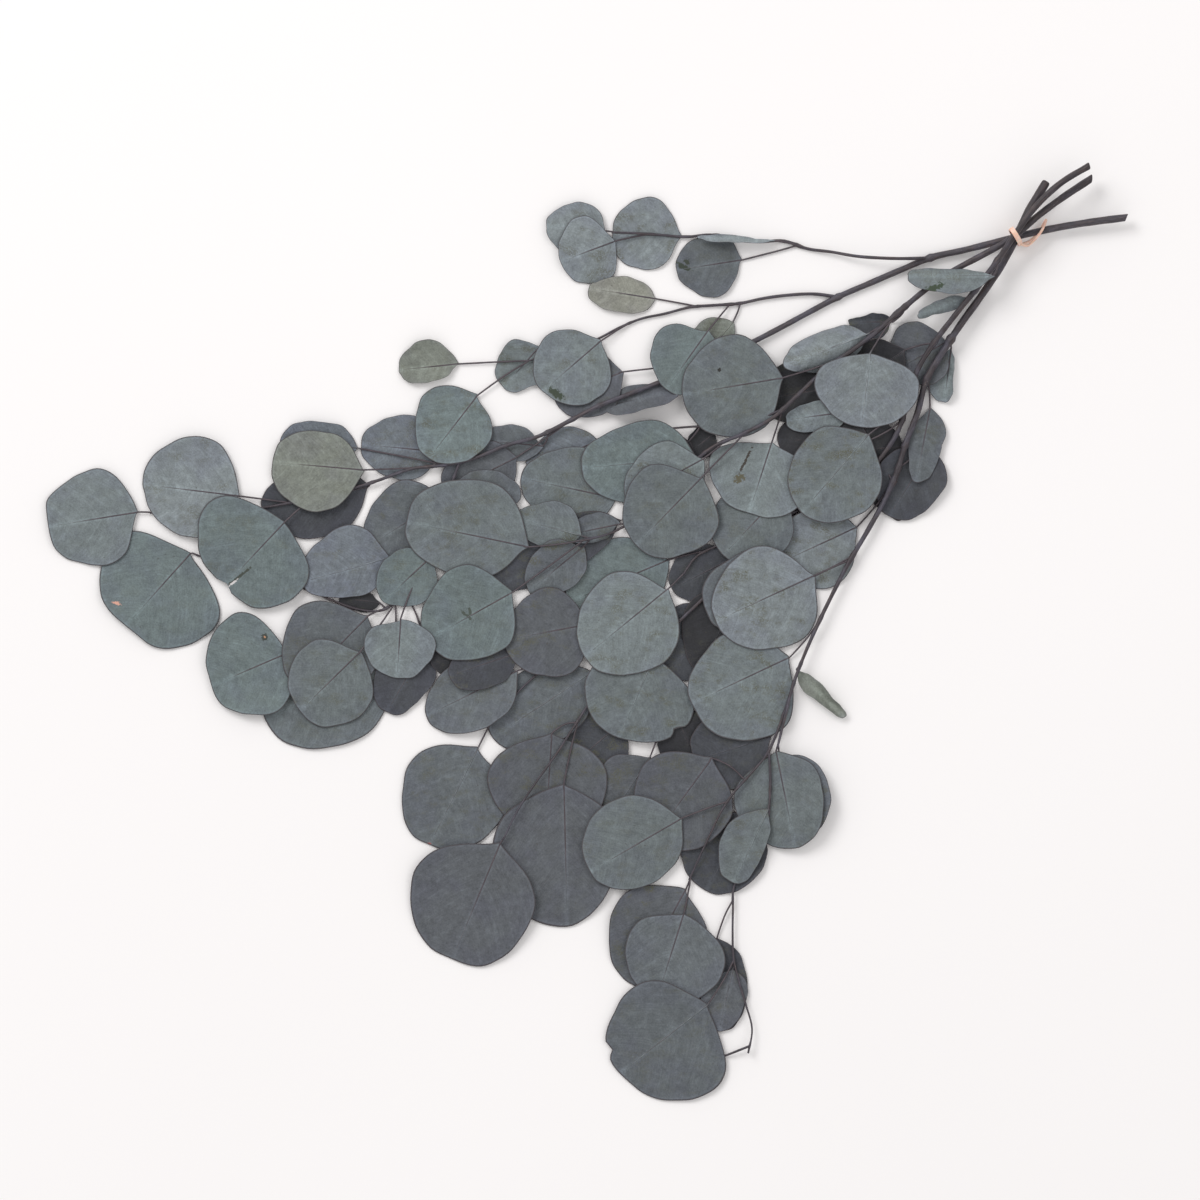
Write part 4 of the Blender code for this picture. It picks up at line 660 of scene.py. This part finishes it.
class Finish:
    """A material under construction: adds nodes and links them to its one shader."""

    def __init__(self, name):
        self.material = bpy.data.materials.new(name)
        self.material.use_nodes = True
        self.tree = self.material.node_tree
        self.shader = self.tree.nodes["Principled BSDF"]

    def feed(self, socket, value):
        if isinstance(value, bpy.types.NodeSocket):
            self.tree.links.new(value, socket)
        else:
            socket.default_value = value

    def node(self, kind, inputs, **settings):
        made = self.tree.nodes.new("ShaderNode" + kind)
        for name, value in settings.items():
            setattr(made, name, value)
        for name, value in inputs.items():
            self.feed(made.inputs[name], value)
        return made

    def calc(self, operation, *values):
        return self.node("Math", dict(enumerate(values)), operation=operation).outputs[0]

    def noise(self, vector, size, detail=3.0, seed=0.0):
        """Cloudy noise whose features are about so big, in the vector's own unit."""
        made = self.node("TexNoise", {"Vector": vector, "W": seed, "Scale": 1 / size, "Detail": detail},
                         noise_dimensions="4D")
        return made.outputs["Fac"]

    def step(self, value, low, high):
        """0 below low, 1 above high, and smooth between."""
        made = self.node("MapRange", {"Value": value, "From Min": low, "From Max": high},
                         interpolation_type="SMOOTHSTEP")
        return made.outputs["Result"]

    def mix(self, share, first, second, blend="MIX"):
        made = self.node("Mix", {0: share}, data_type="RGBA", blend_type=blend)
        self.feed(made.inputs[6], first)
        self.feed(made.inputs[7], second)
        return made.outputs[2]

    def cover(self, colour, mask, strength, over):
        """A colour with another laid over it where a mask is, at such a strength."""
        return self.mix(self.calc("MULTIPLY", mask, strength), colour, over)

    def times(self, colour, factor):
        return self.mix(1.0, colour, factor, "MULTIPLY")

    def grey(self, shade):
        return self.node("CombineColor", {0: shade, 1: shade, 2: shade}).outputs[0]

    def inverse(self, value):
        return self.calc("SUBTRACT", 1.0, value)

    def attribute(self, name):
        return self.node("Attribute", {}, attribute_name=name)

    def place_on_piece(self):
        return self.node("TexCoord", {}).outputs["Object"]

    def stretched(self, vector, scale):
        made = self.node("Mapping", {"Vector": vector, "Scale": scale})
        return made.outputs["Vector"]

    def bump(self, height, strength, distance):
        made = self.node("Bump", {"Height": height, "Strength": strength, "Distance": distance})
        self.feed(self.shader.inputs["Normal"], made.outputs["Normal"])

    def finished(self, inputs):
        """The material, with these values or colours on its shader's sockets."""
        for name, value in inputs.items():
            self.feed(self.shader.inputs[name], value)
        return self.material


def solid_colour(colour):
    return (*screen(colour), 1.0)


def bark_finish():
    """Dark bark with fine long streaks, pores, a blue-grey bloom in patches and lighter brown streaks that are
    partly its own tone and partly painted sheen.
    """
    finish = Finish("dark bark with blue bloom")
    tint = finish.attribute("tint")
    along = finish.attribute("place").outputs["Vector"]
    objects = finish.place_on_piece()
    streaks = finish.noise(finish.stretched(along, (0.14, 1.0, 1.0)), 0.55, detail=4.0)
    patches = finish.noise(objects, 0.011, detail=4.0, seed=2.0)
    pores = finish.noise(objects, 0.0013, detail=2.0, seed=5.0)
    bloom = finish.calc("MULTIPLY", finish.step(patches, 0.42, 0.68), tint.outputs["Alpha"])
    bloom = finish.calc("MULTIPLY", bloom, 0.42)
    colour = finish.mix(bloom, tint.outputs["Color"], solid_colour(BLOOM_COLOUR))
    # lighter brown streaks where the bloom is thin: partly brown bark and partly painted sheen
    brown_and_sheen = finish.noise(finish.stretched(along, (0.06, 1.0, 1.0)), 0.9, seed=3.0)
    brown_and_sheen = finish.calc("MULTIPLY", finish.step(brown_and_sheen, 0.48, 0.66), finish.calc("SUBTRACT", 0.6, bloom))
    colour = finish.mix(brown_and_sheen, colour, solid_colour(BROWN_SHEEN_COLOUR))
    darker = finish.calc("MULTIPLY_ADD", finish.step(streaks, 0.35, 0.7), 0.6, 0.66)
    colour = finish.times(colour, finish.grey(darker))
    colour = finish.cover(colour, finish.step(pores, 0.66, 0.74), 0.3, solid_colour(PORE_COLOUR))
    finish.bump(finish.calc("MULTIPLY_ADD", pores, 0.4, streaks), strength=0.5, distance=0.00035)
    roughness = finish.calc("MULTIPLY_ADD", patches, 0.3, 0.38)
    return finish.finished({"Base Color": colour, "Roughness": roughness, "Specular IOR Level": 0.45})


def finished_piece(name, mesh, made_of, node):
    """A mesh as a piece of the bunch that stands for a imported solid."""
    mesh.materials.append(made_of)
    piece = bpy.data.objects.new(name, mesh)
    bpy.context.scene.collection.objects.link(piece)
    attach(piece, "root")
    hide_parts(node)


bark = bark_finish()
for stem, node in NODE_OF_STEM.items():
    finished_piece(node + "_wood", bark_mesh(stem), bark, node)


# The leaves. They are thin round dried blades, stiff and a little waved, grey-green with a waxy bloom. Fine
# side veins run from the midrib to the rim, which has dried to a thin dark line, and old spots and smears show
# on some.
SPOKES = 72
SPOKE_REACHES = (0, 0.1, 0.22, 0.35, 0.48, 0.6, 0.71, 0.81, 0.89, 0.95, 0.985, 1.0)
BLADE_SHARE = 0.6         # a blade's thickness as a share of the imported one's
RIPPLE = 0.6              # millimetres that the rim wanders in and out, in waves that are added up:
RIPPLE_WAVES = ((2, 1.4), (3, 1.0), (5, 1.8), (9, 3.5), (14, 6.0))  # how many, and what divides them
PINCH = 1.0               # how much the blade's corner at its stalk is drawn in
# Notches in the rims: where, as x and y in the plan, and how deep and wide in millimetres
BITES = {
    3: ((224, 588), 3.0, 2.2), 87: ((607, 1050), 4.0, 3.4), 58: ((679, 731), 5.0, 3.6),
    89: ((938, 444), 3.0, 2.0), 65: ((575, 722), 4.0, 7.0),
}
SEED_STEP = 1.7           # how far apart two leaves' patterns are taken
LIGHTNESS = (0.84, 0.96)  # a leaf's colour is its tint times a value between these
PALER = (1.38, 1.42, 1.44, 1.0)  # times a leaf's own colour, beside the veins and the rim
COOLER = (0.93, 0.91, 1.0, 1.0)  # times it, in patches and towards the rim
SMEAR_COLOUR = (84, 84, 66)
SPOT_COLOUR = (68, 64, 58)
RIM_COLOUR = (64, 57, 60)
RAGGEDNESS = 3.2          # how far a mark's edge wanders, in its own half widths
MARK_EDGE = (0.75, 1.15)  # where a mark fades out, in the same
MARK_STRENGTH = 0.9
LEAF_MARKS = (            # where, half length and half width in drawing units, turn in degrees, colour
    ((719, 370), 2.4, 1.6, 10, (32, 27, 22)), ((745, 462), 15, 1.4, 64, (50, 40, 30)),
    ((739, 478), 5.5, 4, 30, (86, 82, 62)), ((466, 615), 8.5, 1.5, -38, (66, 74, 66)),
    ((470, 611), 4, 1.5, -80, (66, 74, 66)), ((264.7, 637), 3.4, 3.2, 0, (54, 58, 50)),
    ((264.7, 637), 1.3, 1.3, 0, (200, 150, 116)), ((116.7, 603), 4.6, 1.6, -12, (222, 166, 146)),
    ((556.5, 394), 8.5, 4, -35, (50, 60, 42)), ((683.5, 267), 8, 3, -20, (48, 56, 42)),
    ((687, 262), 3, 3, 40, (52, 58, 46)), ((931, 290), 12, 3.6, 28, (46, 60, 36)),
    ((428, 845), 3.4, 2.6, 60, (150, 84, 80)), ((239, 577), 17, 1.3, 38, (58, 62, 54)),
    ((233, 583), 5.5, 1.1, 38, (214, 210, 210)),
)


def leaf_blank():
    """A round closed disc of one unit's reach and thickness: a spoke spun round and thickened."""
    shape = bmesh.new()
    spoke = [shape.verts.new((reach, 0, 0)) for reach in SPOKE_REACHES]
    edges = [shape.edges.new(pair) for pair in zip(spoke, spoke[1:])]
    bmesh.ops.spin(shape, geom=spoke + edges, cent=(0, 0, 0), axis=(0, 0, 1), angle=2 * np.pi, steps=SPOKES,
                   use_merge=True)
    bmesh.ops.remove_doubles(shape, verts=shape.verts[:], dist=0.0001)
    bmesh.ops.recalc_face_normals(shape, faces=shape.faces[:])
    bmesh.ops.solidify(shape, geom=shape.faces[:], thickness=1.0)
    return closed_mesh(shape, "leaf_blank")


blank = leaf_blank()
blank_corners = np.array([v.co for v in blank.vertices])
blank_angles = np.arctan2(blank_corners[:, 1], blank_corners[:, 0]) % (2 * np.pi)
blank_reaches = np.minimum(np.hypot(blank_corners[:, 0], blank_corners[:, 1]), 1.0)
blank_upper = blank_corners[:, 2] > blank_corners[:, 2].mean()
blank_weights = surface_weights(blank_angles, blank_reaches)


def blade(leaf):
    """One leaf's corners, its tint and each corner's place on it: along, across and how far out."""
    number = leaf["number"]
    ripple = sum(np.sin(waves * blank_angles + chance(number + 0.11 * waves, 0, 2 * np.pi)) / share
                 for waves, share in RIPPLE_WAVES)
    plan = blade_plan(leaf, blank_angles, blank_reaches, RIPPLE * ripple * blank_reaches ** 3, PINCH)
    if number in BITES:
        bitten, depth, width = BITES[number]
        distance = np.hypot(*(plan - place(bitten)).T)
        heart = leaf["base"] + leaf["ahead"] * HEART * leaf["length"]
        inward = (heart - place(bitten)) / np.hypot(*(heart - place(bitten)))
        plan = plan + inward * (depth * np.exp(-(distance / width) ** 2))[:, None]
    half = leaf["half"] * BLADE_SHARE
    height = blank_weights @ leaf["level"] + np.where(blank_upper, half, -half)
    along = (plan - leaf["base"]) @ leaf["ahead"]
    across = (plan - leaf["base"]) @ leaf["leftward"]
    tint = leaf_colour(leaf) * chance(number + 0.6, *LIGHTNESS)
    smeared = chance(number + 0.4, 0.0, 1.0)
    return (np.column_stack([plan - middle, height]) * METRE, np.append(tint, smeared),
            np.column_stack([along, across, blank_reaches]), along / leaf["length"] + leaf["narrow"])


def foliage_mesh(stem):
    """All blades of one stem in one mesh, with the tint and the place on its leaf kept for every corner."""
    own = [leaf for leaf in leaves if leaf["stem"] == stem]
    shape = bmesh.new()
    for _ in own:
        shape.from_mesh(blank)
    mesh = bpy.data.meshes.new(NODE_OF_STEM[stem] + "_leaves")
    shape.to_mesh(mesh)
    shape.free()
    corners, tints, places, shares = zip(*[blade(leaf) for leaf in own])
    mesh.vertices.foreach_set("co", np.vstack(corners).ravel())
    count = len(blank_corners)
    seeds = [leaf["number"] * SEED_STEP for leaf in own]
    for name, kind, field, values in (
            ("tint", "FLOAT_COLOR", "color", np.repeat(tints, count, axis=0).ravel()),
            ("place", "FLOAT_VECTOR", "vector", np.vstack(places).ravel()),
            ("seed", "FLOAT", "value", np.repeat(seeds, count)),
            ("share", "FLOAT", "value", np.concatenate(shares))):
        mesh.attributes.new(name, kind, "POINT").data.foreach_set(field, values)
    mesh.update()
    return mesh


def add_marks(finish, colour, objects, marks):
    """Small old marks with ragged edges: each is an oval at a place in the plan, turned, in its colour."""
    ragged = finish.noise(objects, 0.0016, detail=5.0, seed=7.0)
    for (x, y), half_length, half_width, turn, mark_colour in marks:
        spot = (*((place((x, y)) - middle) * METRE), 0)
        from_mark = finish.node("Mapping", {
            "Vector": objects, "Location": spot, "Rotation": (0, 0, np.radians(turn)),
            "Scale": (half_length * DRAWING_UNIT * METRE, half_width * DRAWING_UNIT * METRE, 1000.0),
        }, vector_type="TEXTURE").outputs["Vector"]
        reach = finish.node("VectorMath", {0: from_mark}, operation="LENGTH").outputs["Value"]
        reach = finish.calc("SUBTRACT", reach, RAGGEDNESS / 2)
        reach = finish.calc("MULTIPLY_ADD", ragged, RAGGEDNESS, reach)
        inside = finish.inverse(finish.step(reach, *MARK_EDGE))
        colour = finish.cover(colour, inside, MARK_STRENGTH, solid_colour(mark_colour))
    return colour


def leaf_finish():
    """A waxy dried blade: mottled colour, faint side veins, a dark midrib, a thin dark rim and old smears."""
    finish = Finish("waxy grey-green leaf")
    tint = finish.attribute("tint")
    seed = finish.attribute("seed").outputs["Fac"]
    share = finish.attribute("share").outputs["Fac"]
    spot = finish.node("SeparateXYZ", {0: finish.attribute("place").outputs["Vector"]})
    along, across, reach = spot.outputs
    aside = finish.calc("ABSOLUTE", across)
    objects = finish.place_on_piece()
    clouds = finish.noise(objects, 0.016, seed=seed)
    mottle = finish.noise(objects, 0.0042, detail=4.0, seed=seed)
    grain = finish.noise(objects, 0.0009, seed=seed)
    bowed = finish.calc("MULTIPLY", finish.calc("POWER", aside, 1.35), -0.34)
    run = finish.calc("MULTIPLY_ADD", clouds, 4.0, finish.calc("ADD", along, bowed))
    wander = finish.node("CombineXYZ", {0: run, 1: finish.calc("MULTIPLY", aside, 0.12), 2: seed}).outputs[0]
    streaks = finish.noise(wander, 1.0, detail=5.0, seed=seed)
    ribs = finish.step(finish.noise(wander, 2.4, detail=1.0, seed=seed), 0.5, 0.62)
    clear = finish.step(mottle, 0.4, 0.65)
    shade = finish.calc("MULTIPLY_ADD", clouds, 0.34, 0.83)
    for texture, depth in ((mottle, 0.7), (grain, 0.9), (streaks, 0.5)):
        shade = finish.calc("MULTIPLY_ADD", texture, depth, finish.calc("SUBTRACT", shade, depth / 2))
    colour = finish.times(tint.outputs["Color"], finish.grey(shade))
    cool = finish.noise(objects, 0.016, seed=finish.calc("ADD", seed, 3.0))
    cool = finish.step(finish.calc("MULTIPLY_ADD", finish.calc("POWER", reach, 3.0), 0.16, cool), 0.46, 0.72)
    colour = finish.cover(colour, cool, 0.7, finish.times(colour, COOLER))
    colour = finish.cover(colour, finish.calc("MULTIPLY", ribs, clear), 0.3, finish.times(colour, PALER))
    halo = finish.inverse(finish.step(aside, 0.4, 2.2))
    colour = finish.cover(colour, halo, 0.5, finish.times(colour, PALER))
    core = finish.inverse(finish.step(aside, 0.25, 0.6))
    fading = finish.inverse(finish.step(finish.calc("MULTIPLY_ADD", mottle, 0.4, share), 0.6, 0.9))
    colour = finish.cover(colour, finish.calc("MULTIPLY", core, fading), 0.75, solid_colour(MIDRIB_COLOUR))
    smears = finish.noise(finish.stretched(objects, (0.7, 1.2, 1.0)), 0.008, detail=6.0, seed=seed)
    smears = finish.calc("MULTIPLY_ADD", grain, 0.16, finish.calc("SUBTRACT", smears, 0.08))
    speckled = finish.noise(objects, 0.0007, detail=4.0, seed=finish.calc("ADD", seed, 5.0))
    speckled = finish.calc("MULTIPLY", finish.step(speckled, 0.38, 0.6), tint.outputs["Alpha"])
    worn = finish.calc("MULTIPLY", finish.step(smears, 0.5, 0.66), speckled)
    colour = finish.cover(colour, worn, 0.85, solid_colour(SMEAR_COLOUR))
    spots = finish.step(finish.noise(objects, 0.0019, detail=2.0, seed=seed), 0.69, 0.76)
    colour = finish.cover(colour, spots, 0.5, solid_colour(SPOT_COLOUR))
    colour = add_marks(finish, colour, objects, LEAF_MARKS)
    edge = finish.calc("MULTIPLY_ADD", mottle, 0.02, finish.calc("SUBTRACT", reach, 0.01))
    colour = finish.cover(colour, finish.step(edge, 0.93, 0.965), 0.3, finish.times(colour, PALER))
    colour = finish.cover(colour, finish.step(edge, 0.972, 0.992), 0.85, solid_colour(RIM_COLOUR))
    height = finish.calc("MULTIPLY_ADD", ribs, 0.3, finish.calc("MULTIPLY_ADD", streaks, 0.5, grain))
    finish.bump(height, strength=0.45, distance=0.00025)
    roughness = finish.calc("MULTIPLY_ADD", clouds, 0.25, 0.5)
    return finish.finished({"Base Color": colour, "Roughness": roughness, "Specular IOR Level": 0.35,
                            "Sheen Weight": 0.1})


leaf_look = leaf_finish()
for stem, node in NODE_OF_STEM.items():
    finished_piece(node + "_leaves", foliage_mesh(stem), leaf_look, node)
bpy.data.meshes.remove(blank)


# The rubber band. A flat salmon-pink rubber band goes once tightly round the four stems where they cross, and
# its slack loop is hooked over the upper stem's cut end. It is soft matt rubber with a fine powdery grain.
BAND_STRAND = ((1009.0, 228.0), (1021.0, 247.0))
SLACK_TWIG = "A"
SLACK_PLACES = [(1027, 246, 3.0), (1034, 240, 4.2), (1041, 231, 4.4), (1045, 222, 2.0),
                (1045, 221, -1.0), (1040, 230, -4.1), (1030, 241, -3.4)]
BAND_WIDTH = 3.0
BAND_THICKNESS = 1.2
BAND_AIR = 0.7
BAND_STATIONS = 72
BAND_ROUNDING = 0.3       # millimetres taken off its edges,
SHARP = 1.0               # which turn by more than this many radians
EVENINGS = 3              # how often the ring's corners are evened out
HULL_CORNERS = 16         # corners of a stem's outline under the band,
HULL_WIDER = 1.12         # which is so much wider across, as the stems cross it at a slant
HULL_REACH = 4 * BAND_WIDTH   # and only stems this near to the band's middle are under it
SLACK_RADIUS = 0.8
SLACK_CORNERS = 12
SLACK_STEP = 0.8
BAND_COLOUR = (231, 186, 165)
RUBBER_COLOUR = (232, 190, 168)
WORN_RUBBER_COLOUR = (244, 212, 194)
POWDER_COLOUR = (250, 226, 214)


def band_profile():
    """The inner outline of the band: the hull of the stems where it goes round them, with some air."""
    along = place(BAND_STRAND[1]) - place(BAND_STRAND[0])
    along /= np.hypot(*along)
    through = np.array([along[1], -along[0]])
    centre = (place(BAND_STRAND[0]) + place(BAND_STRAND[1])) / 2
    spots = []
    for twig in twigs.values():
        if twig["parent"]:
            continue
        for point, radius in zip(twig["path"], twig["fine_radius"]):
            offset = point[:2] - centre
            if abs(offset @ through) > BAND_WIDTH or abs(offset @ along) > HULL_REACH:
                continue
            reach = radius + BAND_AIR
            for turn in np.linspace(0, 2 * np.pi, HULL_CORNERS, endpoint=False):
                across = offset @ along + HULL_WIDER * reach * np.cos(turn)
                spots.append((across, point[2] + reach * np.sin(turn)))
    shape = bmesh.new()
    for x, z in spots:
        shape.verts.new((x, z, 0))
    hull = bmesh.ops.convex_hull(shape, input=shape.verts[:])
    rim = {v for v in hull["geom"] if isinstance(v, bmesh.types.BMVert)}
    corners = np.array([(v.co.x, v.co.y) for v in rim])
    shape.free()
    heart = corners.mean(axis=0)
    turns = np.arctan2(*(corners - heart).T[::-1])
    return centre, along, through, corners[np.argsort(turns)]


def ray_to_outline(start, look, outline):
    """How far a ray runs inside a closed outline."""
    for a, b in zip(outline, np.roll(outline, -1, axis=0)):
        edge = b - a
        turn = look[0] * edge[1] - look[1] * edge[0]
        if abs(turn) < 1e-9:
            continue
        distance = ((a - start)[0] * edge[1] - (a - start)[1] * edge[0]) / turn
        share = ((a - start)[0] * look[1] - (a - start)[1] * look[0]) / turn
        if distance > 0 and -1e-6 <= share <= 1 + 1e-6:
            return distance
    return 0.0


def band_mesh():
    """The ring with its edges rounded, and the slack strand as a thin tube from its wall."""
    centre, along, through, inner = band_profile()
    heart = inner.mean(axis=0)
    turns = 2 * np.pi * np.arange(BAND_STATIONS) / BAND_STATIONS
    reaches = np.array([ray_to_outline(heart, (np.cos(turn), np.sin(turn)), inner) for turn in turns])
    for _ in range(EVENINGS):
        reaches = (np.roll(reaches, 1) + 2 * reaches + np.roll(reaches, -1)) / 4
    shape = bmesh.new()
    shape.verts.layers.float_color.new("tint")
    shape.verts.layers.float_vector.new("place")
    bmesh.ops.create_circle(shape, segments=BAND_STATIONS, radius=1.0)
    wide = bmesh.ops.extrude_edge_only(shape, edges=shape.edges[:])["geom"]
    wide = [part for part in wide if isinstance(part, bmesh.types.BMVert)]
    bmesh.ops.translate(shape, verts=wide, vec=(0, 0, 1))
    bmesh.ops.recalc_face_normals(shape, faces=shape.faces[:])
    for vert in shape.verts:
        turn = np.arctan2(vert.co.y, vert.co.x)
        reach = np.interp(turn % (2 * np.pi), np.append(turns, 2 * np.pi), np.append(reaches, reaches[0]))
        spot = heart + np.array([np.cos(turn), np.sin(turn)]) * reach
        plan = centre + along * spot[0] + through * (vert.co.z - 0.5) * BAND_WIDTH - middle
        vert.co = np.append(plan, spot[1]) * METRE
    bmesh.ops.recalc_face_normals(shape, faces=shape.faces[:])
    outwards = max(shape.faces, key=lambda face: face.calc_center_median().z)
    if outwards.normal.z < 0:
        bmesh.ops.reverse_faces(shape, faces=shape.faces[:])
    bmesh.ops.solidify(shape, geom=shape.faces[:], thickness=-BAND_THICKNESS * METRE)
    bmesh.ops.recalc_face_normals(shape, faces=shape.faces[:])
    sharp = [edge for edge in shape.edges if edge.is_manifold and edge.calc_face_angle() > SHARP]
    bmesh.ops.bevel(shape, geom=sharp, offset=BAND_ROUNDING * METRE, offset_type="OFFSET", segments=3,
                    profile=0.5, affect="EDGES", material=-1)
    hooked = twigs[SLACK_TWIG]["path"]
    step, share, _ = nearest_on_route(hooked, place(SLACK_PLACES[2]))
    level = between(hooked[:, 2], step, share)
    wall = heart[0] + ray_to_outline(heart, (1.0, 0.0), inner) + BAND_THICKNESS / 2
    tied = centre + along * wall
    places = [(*tied, heart[1] + 2 * SLACK_RADIUS)]
    places += [(*place(spot), level + spot[2]) for spot in SLACK_PLACES]
    places.append((*tied, heart[1] - 2 * SLACK_RADIUS))
    path = even_steps(curve_through(places, SMOOTH_STEPS), SLACK_STEP)
    tint = (*screen(BAND_COLOUR), 1.0)
    tube(shape, path, np.full(len(path), SLACK_RADIUS), SLACK_CORNERS, [tint] * len(path))
    return closed_mesh(shape, "rubber_band_soft")


def rubber_finish():
    """Soft matt salmon rubber with a powdery grain and slightly paler patches."""
    finish = Finish("salmon rubber")
    objects = finish.place_on_piece()
    patches = finish.noise(objects, 0.004, seed=1.0)
    grain = finish.noise(objects, 0.0005, seed=4.0)
    colour = finish.mix(finish.step(patches, 0.35, 0.7), solid_colour(RUBBER_COLOUR),
                        solid_colour(WORN_RUBBER_COLOUR))
    colour = finish.cover(colour, finish.step(grain, 0.55, 0.75), 0.35, solid_colour(POWDER_COLOUR))
    finish.bump(grain, strength=0.4, distance=0.0002)
    return finish.finished({"Base Color": colour, "Roughness": 0.62, "Subsurface Weight": 0.15,
                            "Subsurface Scale": 0.0008})


finished_piece("rubber_band_soft", band_mesh(), rubber_finish(), "rubber_band")


# The floor, the light and the camera. The bunch lies on a plain white sheet under soft light from the upper
# left, and the camera looks straight down at it from well above.
FLOOR_SIZE = 6.0
FLOOR_GAP = 0.0001        # metres between the lowest leaf and the sheet
FRAME_UNITS = 1200        # the picture's width and height in drawing units
FRAME_WIDTH = FRAME_UNITS * DRAWING_UNIT * METRE
FRAME_MIDDLE = (600.0, 600.0)
CAMERA_HEIGHT = 6.0
SENSOR = 36.0
SHEET_COLOURS = ((246, 244, 244), (252, 250, 250))
LIGHT_COLOUR = (1.0, 0.99, 0.985)
SKY_STRENGTH = 0.66
LAMPS = {                 # where each soft lamp hangs, its width and its power in watts
    "window": ((-2.4, 2.7, 3.6), 2.4, 112.0),
    "fill": ((2.4, 0.3, 4.2), 3.0, 26.0),
}

shape = bmesh.new()
bmesh.ops.create_grid(shape, x_segments=2, y_segments=2, size=FLOOR_SIZE / 2)
mesh = bpy.data.meshes.new("floor")
shape.to_mesh(mesh)
shape.free()
mesh.transform(Matrix.Translation((0, 0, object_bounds()[0].z - FLOOR_GAP)))
floor = bpy.data.objects.new("floor", mesh)
bpy.context.scene.collection.objects.link(floor)
sheet_finish = Finish("white sheet")
cloudy = sheet_finish.noise(sheet_finish.place_on_piece(), 0.6, detail=2.0)
sheet_colour = sheet_finish.mix(cloudy, *[solid_colour(colour) for colour in SHEET_COLOURS])
mesh.materials.append(sheet_finish.finished({"Base Color": sheet_colour, "Roughness": 0.9,
                                             "Specular IOR Level": 0.1}))

world = bpy.data.worlds.new("studio")
world.use_nodes = True
sky = world.node_tree.nodes["Background"]
sky.inputs["Color"].default_value = (*LIGHT_COLOUR, 1.0)
sky.inputs["Strength"].default_value = SKY_STRENGTH
bpy.context.scene.world = world
for name, (spot, size, power) in LAMPS.items():
    lamp = bpy.data.lights.new(name, "AREA")
    lamp.size = size
    lamp.energy = power
    lamp.color = LIGHT_COLOUR
    light = bpy.data.objects.new(name, lamp)
    light.location = spot
    direction = -np.array(spot)
    light.rotation_euler = (np.arccos(-direction[2] / np.linalg.norm(direction)), 0,
                            np.arctan2(direction[1], direction[0]) - np.pi / 2)
    bpy.context.scene.collection.objects.link(light)

camera = bpy.data.cameras.new("camera")
camera.sensor_width = SENSOR
camera.lens = SENSOR * CAMERA_HEIGHT / FRAME_WIDTH
eye = bpy.data.objects.new("camera", camera)
eye.location = (*((place(FRAME_MIDDLE) - middle) * METRE), CAMERA_HEIGHT)
bpy.context.scene.collection.objects.link(eye)
bpy.context.scene.camera = eye
bpy.context.scene.view_settings.view_transform = "Standard"
